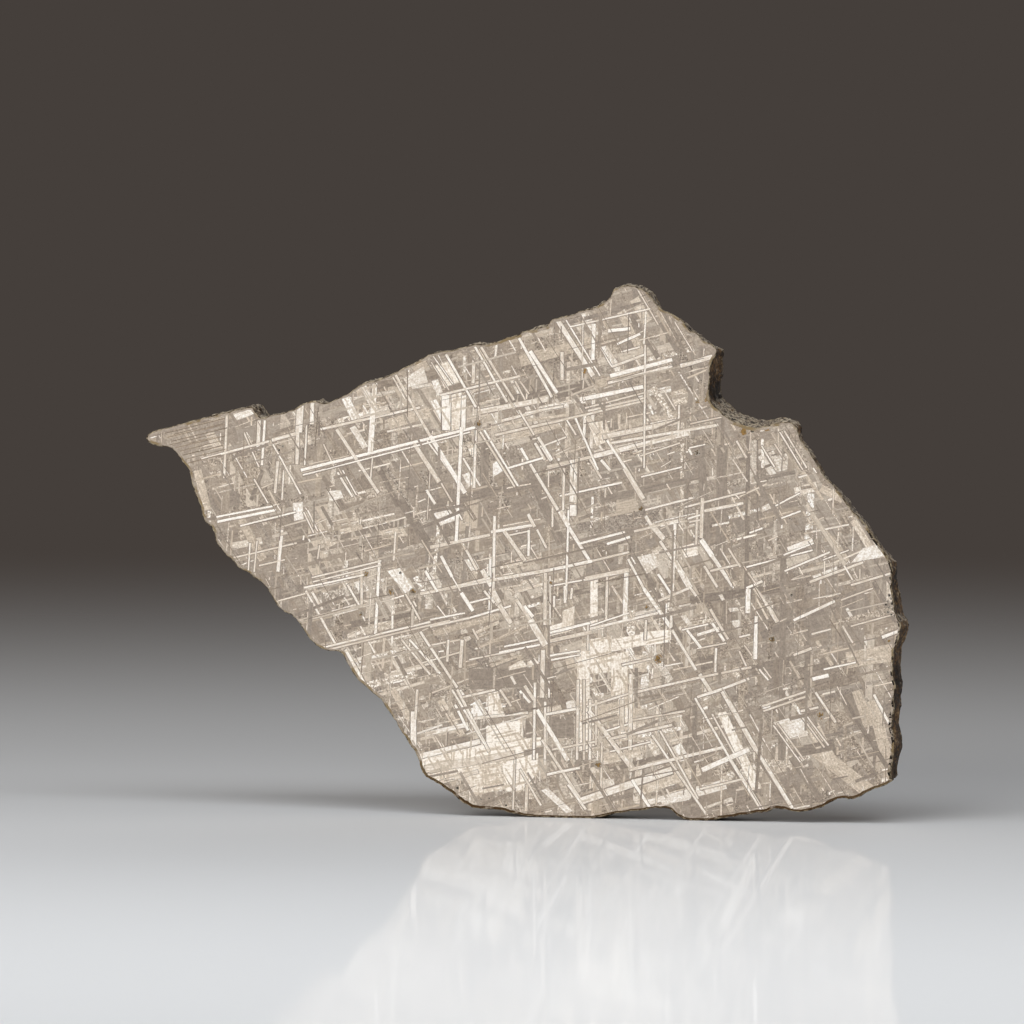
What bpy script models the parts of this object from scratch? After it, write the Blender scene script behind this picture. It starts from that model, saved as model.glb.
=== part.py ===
"""Iron meteorite slice: one sawn and etched slab that keeps the meteorite's own outer edge all round.

It stands on that edge. Its length runs along X, its etched face looks towards -Y, and Z is up.
The origin is under the middle of its box, on the surface that it stands on. Units are metres.
"""
import math

import bmesh
import bpy
from mathutils import Vector, noise

MM = 0.001
TENTH = 0.0001                      # the outline below is listed in tenths of a millimetre

# Driving dimensions
THICKNESS = 4.5 * MM                # between the two sawn faces
ARRIS_INSET = 0.15 * MM             # the saw's sharp corner is rubbed down by this much ...
ARRIS_DEPTH = 0.12 * MM             # ... over this depth
LUMP_HEIGHT = 0.22 * MM             # how far the weathered edge swells and sinks
LUMP_SIZE = 2.6 * MM                # the width of such a swelling
LUMP_SEED = 3.0
CROWN = 0.12 * MM                   # the edge is fullest half way through the slab
BACK_WANDER = 0.15 * MM             # how far the back outline strays from the front one
BACK_WANDER_SIZE = 7.0 * MM
BACK_WANDER_SEED = 11.0
CLEAR_OF_TABLE = 0.06 * MM          # the hollows of the lower edge stay above the table by this much

# The outline was read in a view turned about the vertical and looking slightly down,
# so square_on() sets its points upright and at their full width.
VIEW_TURN = math.radians(13.0)
VIEW_RISE = math.radians(4.2)
FOOT_RIGHT, FOOT_DOWN = 700.0, 820.7      # where the right foot touches the table, in the lists' units

# Depths at which the slab's outline is drawn, as shares of its thickness from the etched face.
# The first and last belong to the two sawn faces, and the next ones in are the full outline.
ARRIS_SHARE = ARRIS_DEPTH / THICKNESS
DEPTH_SHARES = (0.0, ARRIS_SHARE, 0.22, 0.42, 0.61, 0.80, 1.0 - ARRIS_SHARE, 1.0)

# Each stretch of the edge: its name, how far it leans outwards at the back in millimetres,
# and its points to the right and down, clockwise as seen from the etched face.
STRETCHES = [
    ("horn, upper side", -0.05, [
        (144, 438), (146, 434), (151, 431), (158, 428.5), (168, 426), (182, 422), (196, 418.5),
        (210, 415), (222, 412), (235, 409), (247, 406.3), (252, 406.4)]),
    ("nick", -0.15, [
        (254.5, 410), (257, 414.2), (260, 416.6), (265, 416.3), (269, 414.3)]),
    ("long upper edge", 0.0, [
        (275, 413.3), (284, 412), (291, 409.5), (298, 406), (304, 402.3), (310, 400), (316, 400),
        (320, 402.2), (327, 402), (332, 399.7), (344, 394.5), (350, 391.3), (354, 387.5), (359, 384),
        (366, 381.3), (376, 379.7), (382, 378), (392, 373), (404, 367), (418, 360), (428, 354.3),
        (436, 351.5), (446, 350), (453, 349.7), (458, 347.7), (466, 346), (471, 344.3), (479, 343.8),
        (486, 344.3), (493, 342.3), (500, 340), (506, 336.8), (511, 336.3), (517, 334.3), (522, 331.3),
        (530, 329.5), (537, 328.3), (543, 326.7), (547, 325.3), (549.5, 321), (552.5, 318.5),
        (559, 317.8), (565, 315.5), (572, 314.6), (579, 311), (586, 309.6), (592, 308.3), (599, 304),
        (606, 300.3), (610, 297.5)]),
    ("peak", -0.15, [
        (611, 293), (613, 289), (617.5, 287.2), (624, 285.5), (629, 285), (634, 286), (641, 288.8),
        (647, 291.8)]),
    ("shoulder", -0.6, [
        (651, 296.5), (656, 303), (660, 308), (665, 310.8), (670, 313), (677, 316.5), (682, 320),
        (685.5, 325), (689.5, 330), (695, 332.5), (699, 335.5), (702.5, 339.3), (707, 341.9),
        (712, 344.7), (716, 348), (717, 352.5)]),
    ("bite, side wall", 0.3, [
        (715, 357), (712, 361.5), (710.5, 369), (710, 378), (708.8, 386), (709, 395), (711, 401.5)]),
    ("bite, floor", 0.5, [
        (715, 406.5), (720, 411), (724.5, 416), (730.5, 419.7), (738, 422.5), (747, 425.5), (756, 426.8),
        (765, 426.3), (772, 423.5), (779, 421.7), (788, 421.5)]),
    ("right slope", -0.6, [
        (793, 423.5), (796.5, 428.5), (798.5, 435), (801, 441), (805, 446), (809, 451), (813, 458),
        (817, 464), (820.5, 471), (825, 477.5), (832, 484), (839, 492), (844, 500), (850, 508.5),
        (856, 514), (862, 520), (868, 529), (875, 539), (881, 548), (887, 556), (890.5, 563), (892, 570)]),
    ("right edge", -0.05, [
        (891, 578), (891, 586), (893, 598), (894, 610), (896, 617), (899, 621.5), (900, 627), (899, 635),
        (896.5, 643), (893, 650), (892.7, 658), (892.3, 668), (892.7, 676), (895, 685), (894.3, 691),
        (893, 698), (894, 707), (892.3, 716), (891.5, 725), (893.5, 735), (895, 743), (894, 753),
        (891.5, 763), (890.5, 773), (892, 780.5)]),
    ("lower edge, right part", -0.35, [
        (887.5, 784), (879, 787), (870, 790.5), (861, 795.5), (854, 799.3), (848, 799.8), (842, 798.4),
        (837, 798.8), (831, 802), (823, 806.6), (813, 809.8), (801, 812), (791, 811.7), (784, 809.5),
        (778, 808.6), (772, 809.8), (767, 811.7), (757, 813), (744, 815.3), (731, 817.3), (719, 819.2)]),
    ("right foot", 0.0, [(709, 820.9), (704, 820.9), (697, 820.8), (690, 820.6)]),
    ("step beside the right foot", -0.2, [
        (682.5, 819), (676.5, 815.5), (671, 811), (665, 808.5), (656, 808.8), (644, 810.5), (630, 812),
        (616, 814.5), (603, 817)]),
    ("left foot", 0.0, [(592, 819), (580, 818.7), (566, 818.4), (552, 818.2), (537, 817.9)]),
    ("lower edge, left part", -0.35, [
        (526, 816.6), (518, 815.6), (511, 814.3), (504, 811.8), (493, 810.8), (480, 810.2),
        (471, 808.5), (463, 804.5), (456, 798), (447, 791.5), (438, 785.5), (431, 781.2)]),
    ("left edge, lower part", -0.45, [
        (425, 778), (421.5, 773.5), (419, 766.5), (417.5, 759), (414.5, 753), (410.5, 748), (407.5, 742),
        (402, 735), (398, 728.5), (395, 722.3), (390, 715.5), (385, 708), (381, 700.8), (375, 696),
        (367, 689.5), (357, 681), (351, 672.5), (345.5, 662.5), (341.3, 655), (336.5, 651.7)]),
    ("left edge, upper part", -0.45, [
        (329, 652), (322, 650.3), (315, 646), (309, 640), (303.5, 633), (299.5, 626), (295, 620.3),
        (290, 615.8), (283, 612.3), (277, 607.5), (272.5, 601), (269.5, 593.8), (264.5, 588), (259.5, 582.3),
        (252, 577), (243, 571.8), (236, 567.3), (231, 561.3), (224.5, 555.3), (218, 548), (214, 541),
        (212.5, 532.5), (209, 526.8), (203.3, 521.5), (200, 514.5), (198.3, 507), (196, 500.5), (193, 494),
        (191, 486), (188.7, 478), (186.7, 470.3), (182.5, 464.3), (178, 458.5), (174.3, 452.7),
        (170.5, 448.7)]),
    ("horn, under side", -0.2, [
        (164, 447), (156, 446.3), (150, 444.3), (146, 441.5)]),
]
FEET = ("right foot", "left foot")       # flat and level from face to face, because the slab stands on them


def square_on(right, down):
    """A point of the lists, seen square to the slab: metres along it and above the table."""
    along = (right - FOOT_RIGHT) * TENTH / math.cos(VIEW_TURN)
    sunk = along * math.sin(VIEW_TURN) * math.sin(VIEW_RISE)
    up = ((FOOT_DOWN - down) * TENTH + sunk) / math.cos(VIEW_RISE)
    return Vector((along, up))


def ring_average(values, reach):
    """Each value of a closed ring, averaged with its neighbours up to reach places away."""
    count = len(values)
    zero = values[0] * 0.0
    return [sum((values[(i + step) % count] for step in range(-reach, reach + 1)), zero) / (2 * reach + 1)
            for i in range(count)]


def outward_normals(points):
    """Unit vectors pointing out of a clockwise ring of points."""
    count = len(points)
    normals = []
    for i in range(count):
        run = points[(i + 1) % count] - points[i - 1]
        normals.append(Vector((-run.y, run.x)).normalized())
    return normals


def read_outline():
    """The front outline as points, their leans in metres, and whether each one is part of a foot."""
    points, leans, is_foot = [], [], []
    for name, lean, listed in STRETCHES:
        for right, down in listed:
            point = square_on(right, down)
            if name in FEET:
                point.y = 0.0
            else:
                point.y = max(point.y, CLEAR_OF_TABLE)
            points.append(point)
            leans.append(lean * MM)
            is_foot.append(name in FEET)
    return points, ring_average(leans, 2), is_foot


def bump(point, depth, size, seed):
    """Smooth noise between about -1 and 1 at a point of the edge."""
    return 2.0 * noise.noise(Vector((point.x, depth, point.y)) / size + Vector((seed, 0.0, 0.0)))


def outline_at(share, points, leans, is_foot, normals):
    """The slab's outline at one depth, given as a share of its thickness."""
    depth = share * THICKNESS
    on_face = share in (0.0, 1.0)
    through = min(max((share - ARRIS_SHARE) / (1.0 - 2.0 * ARRIS_SHARE), 0.0), 1.0)
    fullness = 4.0 * through * (1.0 - through)
    ring = []
    for point, lean, foot, normal in zip(points, leans, is_foot, normals):
        move = 0.0
        if not foot:
            move += lean * through
            move += CROWN * fullness
            move += LUMP_HEIGHT * fullness * bump(point, depth, LUMP_SIZE, LUMP_SEED)
            move += BACK_WANDER * through * bump(point, 0.0, BACK_WANDER_SIZE, BACK_WANDER_SEED)
        placed = point + normal * move
        if not foot:
            placed.y = max(placed.y, CLEAR_OF_TABLE)
        if on_face:
            placed = placed - normal * ARRIS_INSET
        ring.append(placed)
    return ring


def make_slice_mesh():
    """Draws the etched face, then extrudes it from depth to depth and sets each new ring in place."""
    points, leans, is_foot = read_outline()
    normals = outward_normals(ring_average(points, 1))
    rings = [outline_at(share, points, leans, is_foot, normals) for share in DEPTH_SHARES]
    leftmost = min(p.x for ring in rings for p in ring)
    rightmost = max(p.x for ring in rings for p in ring)
    middle = (leftmost + rightmost) / 2.0

    bm = bmesh.new()
    etched = bm.faces.new([bm.verts.new((p.x - middle, -THICKNESS / 2.0, p.y)) for p in rings[0]])
    face = etched
    for share, ring in zip(DEPTH_SHARES[1:], rings[1:]):
        made = bmesh.ops.extrude_face_region(bm, geom=[face])
        if face is not etched:
            bmesh.ops.delete(bm, geom=[face], context="FACES_ONLY")
        face = next(item for item in made["geom"] if isinstance(item, bmesh.types.BMFace))
        for vert, p in zip(face.verts, ring):
            vert.co = (p.x - middle, (share - 0.5) * THICKNESS, p.y)
    bmesh.ops.recalc_face_normals(bm, faces=bm.faces[:])
    mesh = bpy.data.meshes.new("meteorite_slice")
    bm.to_mesh(mesh)
    bm.free()
    return mesh


def make_etched_iron():
    """Nickel-iron, sawn, polished and etched: a pale grey metal with a satin shine."""
    material = bpy.data.materials.new("etched_nickel_iron")
    material.use_nodes = True
    shader = material.node_tree.nodes["Principled BSDF"]
    shader.inputs["Base Color"].default_value = (0.42, 0.38, 0.32, 1.0)
    shader.inputs["Metallic"].default_value = 0.9
    shader.inputs["Roughness"].default_value = 0.42
    return material


def main():
    for old in list(bpy.data.objects):
        bpy.data.objects.remove(old, do_unlink=True)
    collection = bpy.data.collections.new("iron_meteorite_slice")
    bpy.context.scene.collection.children.link(collection)
    meteorite_slice = bpy.data.objects.new("meteorite_slice", make_slice_mesh())
    meteorite_slice.data.materials.append(make_etched_iron())
    collection.objects.link(meteorite_slice)


main()
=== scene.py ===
# %% [markdown]
# # An etched slice of an iron meteorite
#
# An iron meteorite is one block of nickel-iron that cooled over millions of years. Two alloys grew in
# it as flat plates in four directions. Where the block is sawn, polished and etched with acid, the
# plates show as crossing bands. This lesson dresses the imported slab: it gives the two sawn faces their
# bands, and the natural edge its dark, pitted crust.

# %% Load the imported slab
import math
import random

import bmesh
import bpy
import numpy as np
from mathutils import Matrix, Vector
from mathutils.geometry import delaunay_2d_cdt


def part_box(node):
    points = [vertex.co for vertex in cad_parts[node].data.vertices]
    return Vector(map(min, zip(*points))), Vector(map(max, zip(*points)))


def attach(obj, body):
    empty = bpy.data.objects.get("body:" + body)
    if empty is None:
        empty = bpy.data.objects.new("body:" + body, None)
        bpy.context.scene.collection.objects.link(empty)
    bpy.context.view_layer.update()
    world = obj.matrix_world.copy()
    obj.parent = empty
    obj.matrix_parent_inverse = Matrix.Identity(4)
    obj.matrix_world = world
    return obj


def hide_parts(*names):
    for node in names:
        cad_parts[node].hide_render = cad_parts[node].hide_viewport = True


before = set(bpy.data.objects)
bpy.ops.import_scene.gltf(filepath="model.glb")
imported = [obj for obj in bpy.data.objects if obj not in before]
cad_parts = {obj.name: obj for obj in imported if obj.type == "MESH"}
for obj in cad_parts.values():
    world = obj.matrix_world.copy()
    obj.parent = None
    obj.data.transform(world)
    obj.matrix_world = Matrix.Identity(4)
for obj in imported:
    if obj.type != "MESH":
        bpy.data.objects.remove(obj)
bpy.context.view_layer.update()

MM = 0.001
cad_low, cad_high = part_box("meteorite_slice")
THICKNESS = cad_high[1] - cad_low[1]
print("slab", [round((h - l) / MM, 2) for l, h in zip(cad_low, cad_high)], "mm")

# %% [markdown]
# ## Places on the slab
#
# The photograph shows the slab turned 13 degrees and from 4.2 degrees above. At its scale a pixel is a
# tenth of a millimetre, so the bands below are listed in tenths, to the right and down, as they are
# seen. `square_on` sets such a place upright and at its full width, which is what the slab's own
# outline was drawn with. The tip of the horn ties the two together.

# %% From the view to the slab's own plane
TENTH = 0.0001
VIEW_TURN = math.radians(13.0)
VIEW_RISE = math.radians(4.2)
FOOT_RIGHT, FOOT_DOWN = 700.0, 820.7     # where the right foot touches the table
HORN_TIP_RIGHT = 144.0                   # the leftmost point of the outline
ARRIS_DEPTH = 0.12 * MM


def read_slab():
    """The slab's mesh as a new bmesh with its doubles merged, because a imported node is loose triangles."""
    slab = bmesh.new()
    slab.from_mesh(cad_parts["meteorite_slice"].data)
    bmesh.ops.remove_doubles(slab, verts=slab.verts, dist=0.001 * MM)
    return slab


def tip_of_outline():
    """The x of the outline's leftmost point, on the ring where the etched face's arris ends."""
    slab = read_slab()
    ring_y = ARRIS_DEPTH - THICKNESS / 2.0
    tip = min(v.co.x for v in slab.verts if abs(v.co.y - ring_y) < 0.02 * MM)
    slab.free()
    return tip


def unshifted(right, down):
    """A place in the view as metres along the slab from its right foot, and metres above the table."""
    along = (right - FOOT_RIGHT) * TENTH / math.cos(VIEW_TURN)
    sunk = along * math.sin(VIEW_TURN) * math.sin(VIEW_RISE)
    return along, ((FOOT_DOWN - down) * TENTH + sunk) / math.cos(VIEW_RISE)


SHIFT = tip_of_outline() - unshifted(HORN_TIP_RIGHT, FOOT_DOWN)[0]


def square_on(right, down):
    """A place in the view as a point (x, z) of the slab's plane."""
    along, up = unshifted(right, down)
    return np.array((along + SHIFT, up))


print("right foot at x =", round(square_on(FOOT_RIGHT, FOOT_DOWN)[0] / MM, 2), "mm")

# %% [markdown]
# ## Four small helpers
#
# Colours are written as sRGB hex, as a paint program shows them, and Blender's shaders want linear
# light, so one function turns them. A second one adds a node to any tree, shader or geometry, with its
# settings and its inputs, which are values, other nodes, or other nodes' outputs. A third one starts a
# geometry tree with named inputs, and a fourth one runs such a tree on a mesh once, and keeps what it
# makes as a plain mesh.

# %% Colours, nodes and geometry trees
def colour(code):
    """A hex colour such as #a59a8c as linear red, green, blue and alpha."""
    channels = [int(code[i:i + 2], 16) / 255.0 for i in (1, 3, 5)]
    return tuple(c / 12.92 if c <= 0.04045 else ((c + 0.055) / 1.055) ** 2.4 for c in channels) + (1.0,)


def add(tree, kind, inputs=None, **settings):
    """Adds a node. inputs maps a socket's name or number to a value, to a node (its first output is
    meant), or to a node's output."""
    node = tree.nodes.new(kind)
    for name, value in settings.items():
        setattr(node, name, value)
    for key, value in (inputs or {}).items():
        if isinstance(value, bpy.types.Node):
            value = value.outputs[0]
        if isinstance(value, bpy.types.NodeSocket):
            tree.links.new(value, node.inputs[key])
        else:
            node.inputs[key].default_value = value
    return node


def new_tree(name, sockets):
    """A geometry node tree with named inputs: the tree, its inputs as sockets, and its output node."""
    tree = bpy.data.node_groups.new(name, "GeometryNodeTree")
    for socket_name, kind in sockets:
        tree.interface.new_socket(socket_name, in_out="INPUT", socket_type="NodeSocket" + kind)
    tree.interface.new_socket("Geometry", in_out="OUTPUT", socket_type="NodeSocketGeometry")
    return tree, tree.nodes.new("NodeGroupInput").outputs, tree.nodes.new("NodeGroupOutput")


def run_tree(mesh, tree, values):
    """What the tree makes of a mesh, as a plain mesh. values go by the names of the tree's inputs."""
    holder = bpy.data.objects.new(tree.name, mesh)
    bpy.context.scene.collection.objects.link(holder)
    modifier = holder.modifiers.new(tree.name, "NODES")
    modifier.node_group = tree
    for item in tree.interface.items_tree:
        if item.in_out == "INPUT" and item.name in values:
            modifier[item.identifier] = values[item.name]
    made = bpy.data.meshes.new_from_object(holder.evaluated_get(bpy.context.evaluated_depsgraph_get()))
    bpy.data.objects.remove(holder, do_unlink=True)
    return made


# %% [markdown]
# ## The weathered edge
#
# The slab's rim is the meteorite's own skin: burnt in the fall, then rusted, flaked and pitted in the
# ground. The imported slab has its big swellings. A node tree cuts that wall finer and moves each point
# in or out: broad waves, sharp little pits, and the crumbs that break off the sawn corners. It moves
# points in the slab's own plane alone, so the two sawn faces stay flat, and it fades out at the table.
# Sculpting would do as well, but a tree keeps every size in sight and gives the same edge each run.

# %% The wall without the two sawn faces
def wall_of_slab():
    """The slab without its two sawn faces."""
    slab = read_slab()
    sawn = [f for f in slab.faces if all(abs(abs(v.co.y) - THICKNESS / 2.0) < 0.01 * MM for v in f.verts)]
    bmesh.ops.delete(slab, geom=sawn, context="FACES")
    mesh = bpy.data.meshes.new("wall")
    slab.to_mesh(mesh)
    slab.free()
    return mesh


# %% The tree that weathers it
TIP_LENGTH = 1.6 * MM                    # of the horn's end, where the weathering fades out


def weathering_tree():
    """Geometry nodes: cuts a wall finer and roughens it with waves, pits and crumbs."""
    tree, given, out = new_tree("weathering", [
        ("Wall", "Geometry"), ("Cuts", "Int"), ("Wave Height", "Float"), ("Wave Size", "Float"),
        ("Pit Depth", "Float"), ("Pit Size", "Float"), ("Crumb Depth", "Float"), ("Crumb Size", "Float"),
        ("Half Thickness", "Float"), ("Fade", "Float"), ("Inset", "Float"), ("Tip", "Float"),
        ("Material", "Material")])
    finer = add(tree, "GeometryNodeSubdivideMesh", {"Mesh": given["Wall"], "Level": given["Cuts"]})
    place = add(tree, "GeometryNodeInputPosition")
    split = add(tree, "ShaderNodeSeparateXYZ", {"Vector": place})

    heights = []
    for size, depth, kind in (("Wave Size", "Wave Height", "wave"), ("Pit Size", "Pit Depth", "pit"),
                              ("Crumb Size", "Crumb Depth", "crumb")):
        inverse = add(tree, "ShaderNodeMath", {0: 1.0, 1: given[size]}, operation="DIVIDE")
        scaled = add(tree, "ShaderNodeVectorMath", {0: place, "Scale": inverse}, operation="SCALE")
        if kind == "pit":
            cells = add(tree, "ShaderNodeTexVoronoi", {"Vector": scaled, "Scale": 1.0}, feature="SMOOTH_F1")
            shape = add(tree, "ShaderNodeMapRange", {"Value": cells.outputs["Distance"], "From Min": 0.15,
                                                     "From Max": 0.75, "To Min": -1.0, "To Max": 0.35})
        else:
            cloud = add(tree, "ShaderNodeTexNoise", {"Vector": scaled, "Scale": 1.0, "Detail": 3.0})
            shape = add(tree, "ShaderNodeMath", {0: cloud, 1: 0.5}, operation="SUBTRACT")
        heights.append(add(tree, "ShaderNodeMath", {0: shape, 1: given[depth]}, operation="MULTIPLY"))

    # 0 at the sawn faces, and 1 further in than Fade
    off_middle = add(tree, "ShaderNodeMath", {0: split.outputs["Y"]}, operation="ABSOLUTE")
    inwards = add(tree, "ShaderNodeMath", {0: given["Half Thickness"], 1: off_middle}, operation="SUBTRACT")
    inside = add(tree, "ShaderNodeMapRange", {"Value": inwards, "From Max": given["Fade"]},
                 interpolation_type="SMOOTHSTEP")
    above = add(tree, "ShaderNodeMapRange", {"Value": split.outputs["Z"], "From Max": given["Fade"]},
                interpolation_type="SMOOTHSTEP")
    rough = add(tree, "ShaderNodeMath", {0: heights[0], 1: heights[1]}, operation="ADD")
    masked = add(tree, "ShaderNodeMath", {0: rough, 1: inside}, operation="MULTIPLY")
    summed = add(tree, "ShaderNodeMath", {0: masked, 1: heights[2]}, operation="ADD")
    # behind the etched face the wall steps back, so that no swelling shows past the face's own edge
    deep = add(tree, "ShaderNodeMath", {0: split.outputs["Y"], 1: given["Half Thickness"]}, operation="ADD")
    stepped = add(tree, "ShaderNodeMapRange", {"Value": deep, "From Max": given["Fade"],
                                               "To Max": given["Inset"]})
    summed = add(tree, "ShaderNodeMath", {0: summed, 1: stepped}, operation="SUBTRACT")
    amount = add(tree, "ShaderNodeMath", {0: summed, 1: above}, operation="MULTIPLY")
    # the horn's tip is too sharp to move: its two sides would cross
    past_tip = add(tree, "ShaderNodeMath", {0: split.outputs["X"], 1: given["Tip"]}, operation="SUBTRACT")
    off_tip = add(tree, "ShaderNodeMapRange", {"Value": past_tip, "From Max": TIP_LENGTH})
    amount = add(tree, "ShaderNodeMath", {0: amount, 1: off_tip}, operation="MULTIPLY")
    normal = add(tree, "GeometryNodeInputNormal")
    level = add(tree, "ShaderNodeVectorMath", {0: normal, 1: (1.0, 0.0, 1.0)}, operation="MULTIPLY")
    offset = add(tree, "ShaderNodeVectorMath", {0: level, "Scale": amount}, operation="SCALE")
    moved = add(tree, "GeometryNodeSetPosition", {"Geometry": finer, "Offset": offset})
    real = add(tree, "GeometryNodeRealizeInstances", {"Geometry": moved})
    dressed = add(tree, "GeometryNodeSetMaterial", {"Geometry": real, "Material": given["Material"]})
    tree.links.new(dressed.outputs[0], out.inputs[0])
    return tree


# %% Weather the wall
crust = bpy.data.materials.new("weathered_iron_crust")
wall = run_tree(wall_of_slab(), weathering_tree(), {
    "Cuts": 2, "Wave Height": 0.44 * MM, "Wave Size": 0.8 * MM, "Pit Depth": 0.10 * MM, "Pit Size": 0.5 * MM,
    "Crumb Depth": 0.50 * MM, "Crumb Size": 0.7 * MM, "Half Thickness": THICKNESS / 2.0,
    "Fade": 0.45 * MM, "Inset": 0.20 * MM, "Tip": cad_low[0], "Material": crust})
print("wall:", len(wall.polygons), "faces")

# %% [markdown]
# ## The boldest bands
#
# The plates lie in four directions, so their cuts do too. Across the face they are: gently rising,
# rising more steeply, falling steeply, and upright. Random bands alone would look like some other
# meteorite, so the boldest ones were chosen one by one and are listed here, each with its two ends and its
# width. They are grouped by what they are: bright lines of nickel-rich taenite, cream lines and fields,
# and dull grey bands of kamacite.

# %% Bright lines that rise gently
BRIGHT_RISING = [
    (200, 459, 268, 441, 2.5), (271, 440, 296, 433, 4), (320, 429, 420, 407, 3), (300, 470, 480, 426, 3),
    (302, 475, 470, 432, 2.2), (215, 517, 272, 506, 2.2), (216, 522, 275, 510, 3), (239, 526, 295, 512, 2),
    (232, 558, 296, 543, 2), (258, 566, 284, 560, 2), (440, 395, 520, 376, 3), (478, 412, 548, 399, 6),
    (501, 421, 542, 410, 3), (525, 413, 563, 406, 2.5), (495, 435, 562, 420, 3), (570, 327, 650, 309, 2),
    (608, 331, 630, 329, 4), (617, 344, 640, 334, 3), (621, 352, 640, 347, 2), (612, 367, 644, 355, 3),
    (610, 376, 672, 360, 4), (608, 383, 672, 366, 3), (583, 399, 643, 387, 4), (585, 408, 644, 393, 2),
    (588, 411, 644, 398, 2.5), (562, 420, 644, 401, 2.5), (603, 437, 677, 422, 5), (610, 443, 718, 425, 3),
    (594, 456, 690, 433, 5), (640, 456, 680, 443, 2), (508, 468, 543, 458, 2.5), (547, 467, 600, 455, 3),
    (546, 470, 572, 463, 2), (680, 366, 712, 357, 5), (690, 424, 723, 417, 2), (689, 448, 705, 444.5, 2),
    (641, 477, 682, 467, 2), (661, 467, 671, 461, 1.5), (560, 496, 622, 482.5, 2.5), (685, 507, 745, 492, 2.5),
    (704, 511, 743, 503, 3.2), (645, 510, 694, 497.5, 2.5), (634, 531.5, 660, 525, 2.5),
    (660, 525, 678, 521, 4), (687, 519, 700, 515, 2.2), (689, 522, 700, 520, 2), (580, 543.5, 625, 532, 2.5),
    (607, 544, 630, 537, 3), (710, 571, 740, 564, 2.5), (746, 567, 812, 550, 2.2), (746, 588, 762, 581, 3),
    (658, 601, 689, 588, 3), (311, 578, 381, 561, 2.2), (312, 582, 381, 565, 2), (303, 588, 364, 575, 2.5),
    (430, 547.5, 490, 535, 3.5), (491, 532, 534, 525, 3.5), (506, 536, 530, 531, 2), (420, 594, 488, 581, 3),
    (488, 581, 550, 570, 3.5), (550, 570, 592, 561, 3.5), (592, 561, 629, 552, 2.5), (440, 590, 490, 578, 3),
    (551, 586, 589, 579, 2), (585, 579, 629, 570, 4.5), (540, 447, 566, 437, 2), (470, 603, 490, 598, 2),
    (430, 627, 470, 618, 2.5), (470, 618, 511, 606, 2.5), (430, 620, 465, 613, 2), (322, 648, 430, 622, 2.5),
    (322, 651.5, 450, 620.5, 2.2), (504, 647, 538, 640, 2.5), (499, 652.5, 540, 645, 2.5),
    (469, 660, 515, 651, 2), (550, 633, 590, 623, 3), (550, 641, 592, 632, 4), (550, 656, 580, 651, 2.5),
    (551, 660, 580, 655, 2), (590, 626, 629, 613, 2), (590, 629, 658, 613, 3), (622, 665, 654, 658, 2.5),
    (682, 630, 708, 624, 2), (697, 635, 719, 628, 3.5), (697, 648.5, 726, 643, 2), (739, 637, 750, 634.5, 2),
    (587, 707, 630, 693.5, 2.5), (630, 693.5, 701, 677, 2.5), (701, 677, 751, 667, 2.5),
    (697, 697, 719, 690, 3), (719, 690, 749, 678.5, 3), (461, 698, 495, 690, 2.5), (474, 719, 528, 713, 3),
    (546, 715, 576, 709, 3), (629, 721, 685, 711, 2.5), (603, 732, 629, 724, 2.5), (610, 739, 672, 725, 3),
    (425, 735, 468, 725, 5), (420, 757, 480, 742, 6), (440, 783, 478, 772, 4), (552, 750, 595, 742, 2.5),
    (547, 775, 580, 768, 3), (420, 664, 462, 652, 2), (700, 789, 742, 779, 2.5), (610, 752, 650, 742, 2)]

# %% Bright lines that rise more steeply
BRIGHT_STEEPER = [
    (787, 549, 812, 540, 5), (783, 555, 813, 543, 2), (784, 571, 829, 552, 2.5), (775, 506, 799, 493, 2),
    (809, 582, 862, 562, 3), (850, 585, 893, 572, 2.5), (793, 620, 834, 601, 3), (793, 655, 811, 648, 3),
    (811, 634, 830, 629, 2), (850, 626, 893, 614, 2), (823, 669, 855, 662, 2), (881, 637, 899, 630, 4),
    (812, 679, 828, 675, 4), (762, 706, 806, 691, 2.5), (763, 711, 806, 696, 2.2), (800, 711, 818, 707, 3),
    (630, 770, 724, 747, 4), (702, 770, 749, 749, 5), (749, 533, 762, 528, 2.5), (776, 520, 800, 511, 2),
    (822, 560, 848, 550, 2), (840, 600, 872, 588, 1.8)]

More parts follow.
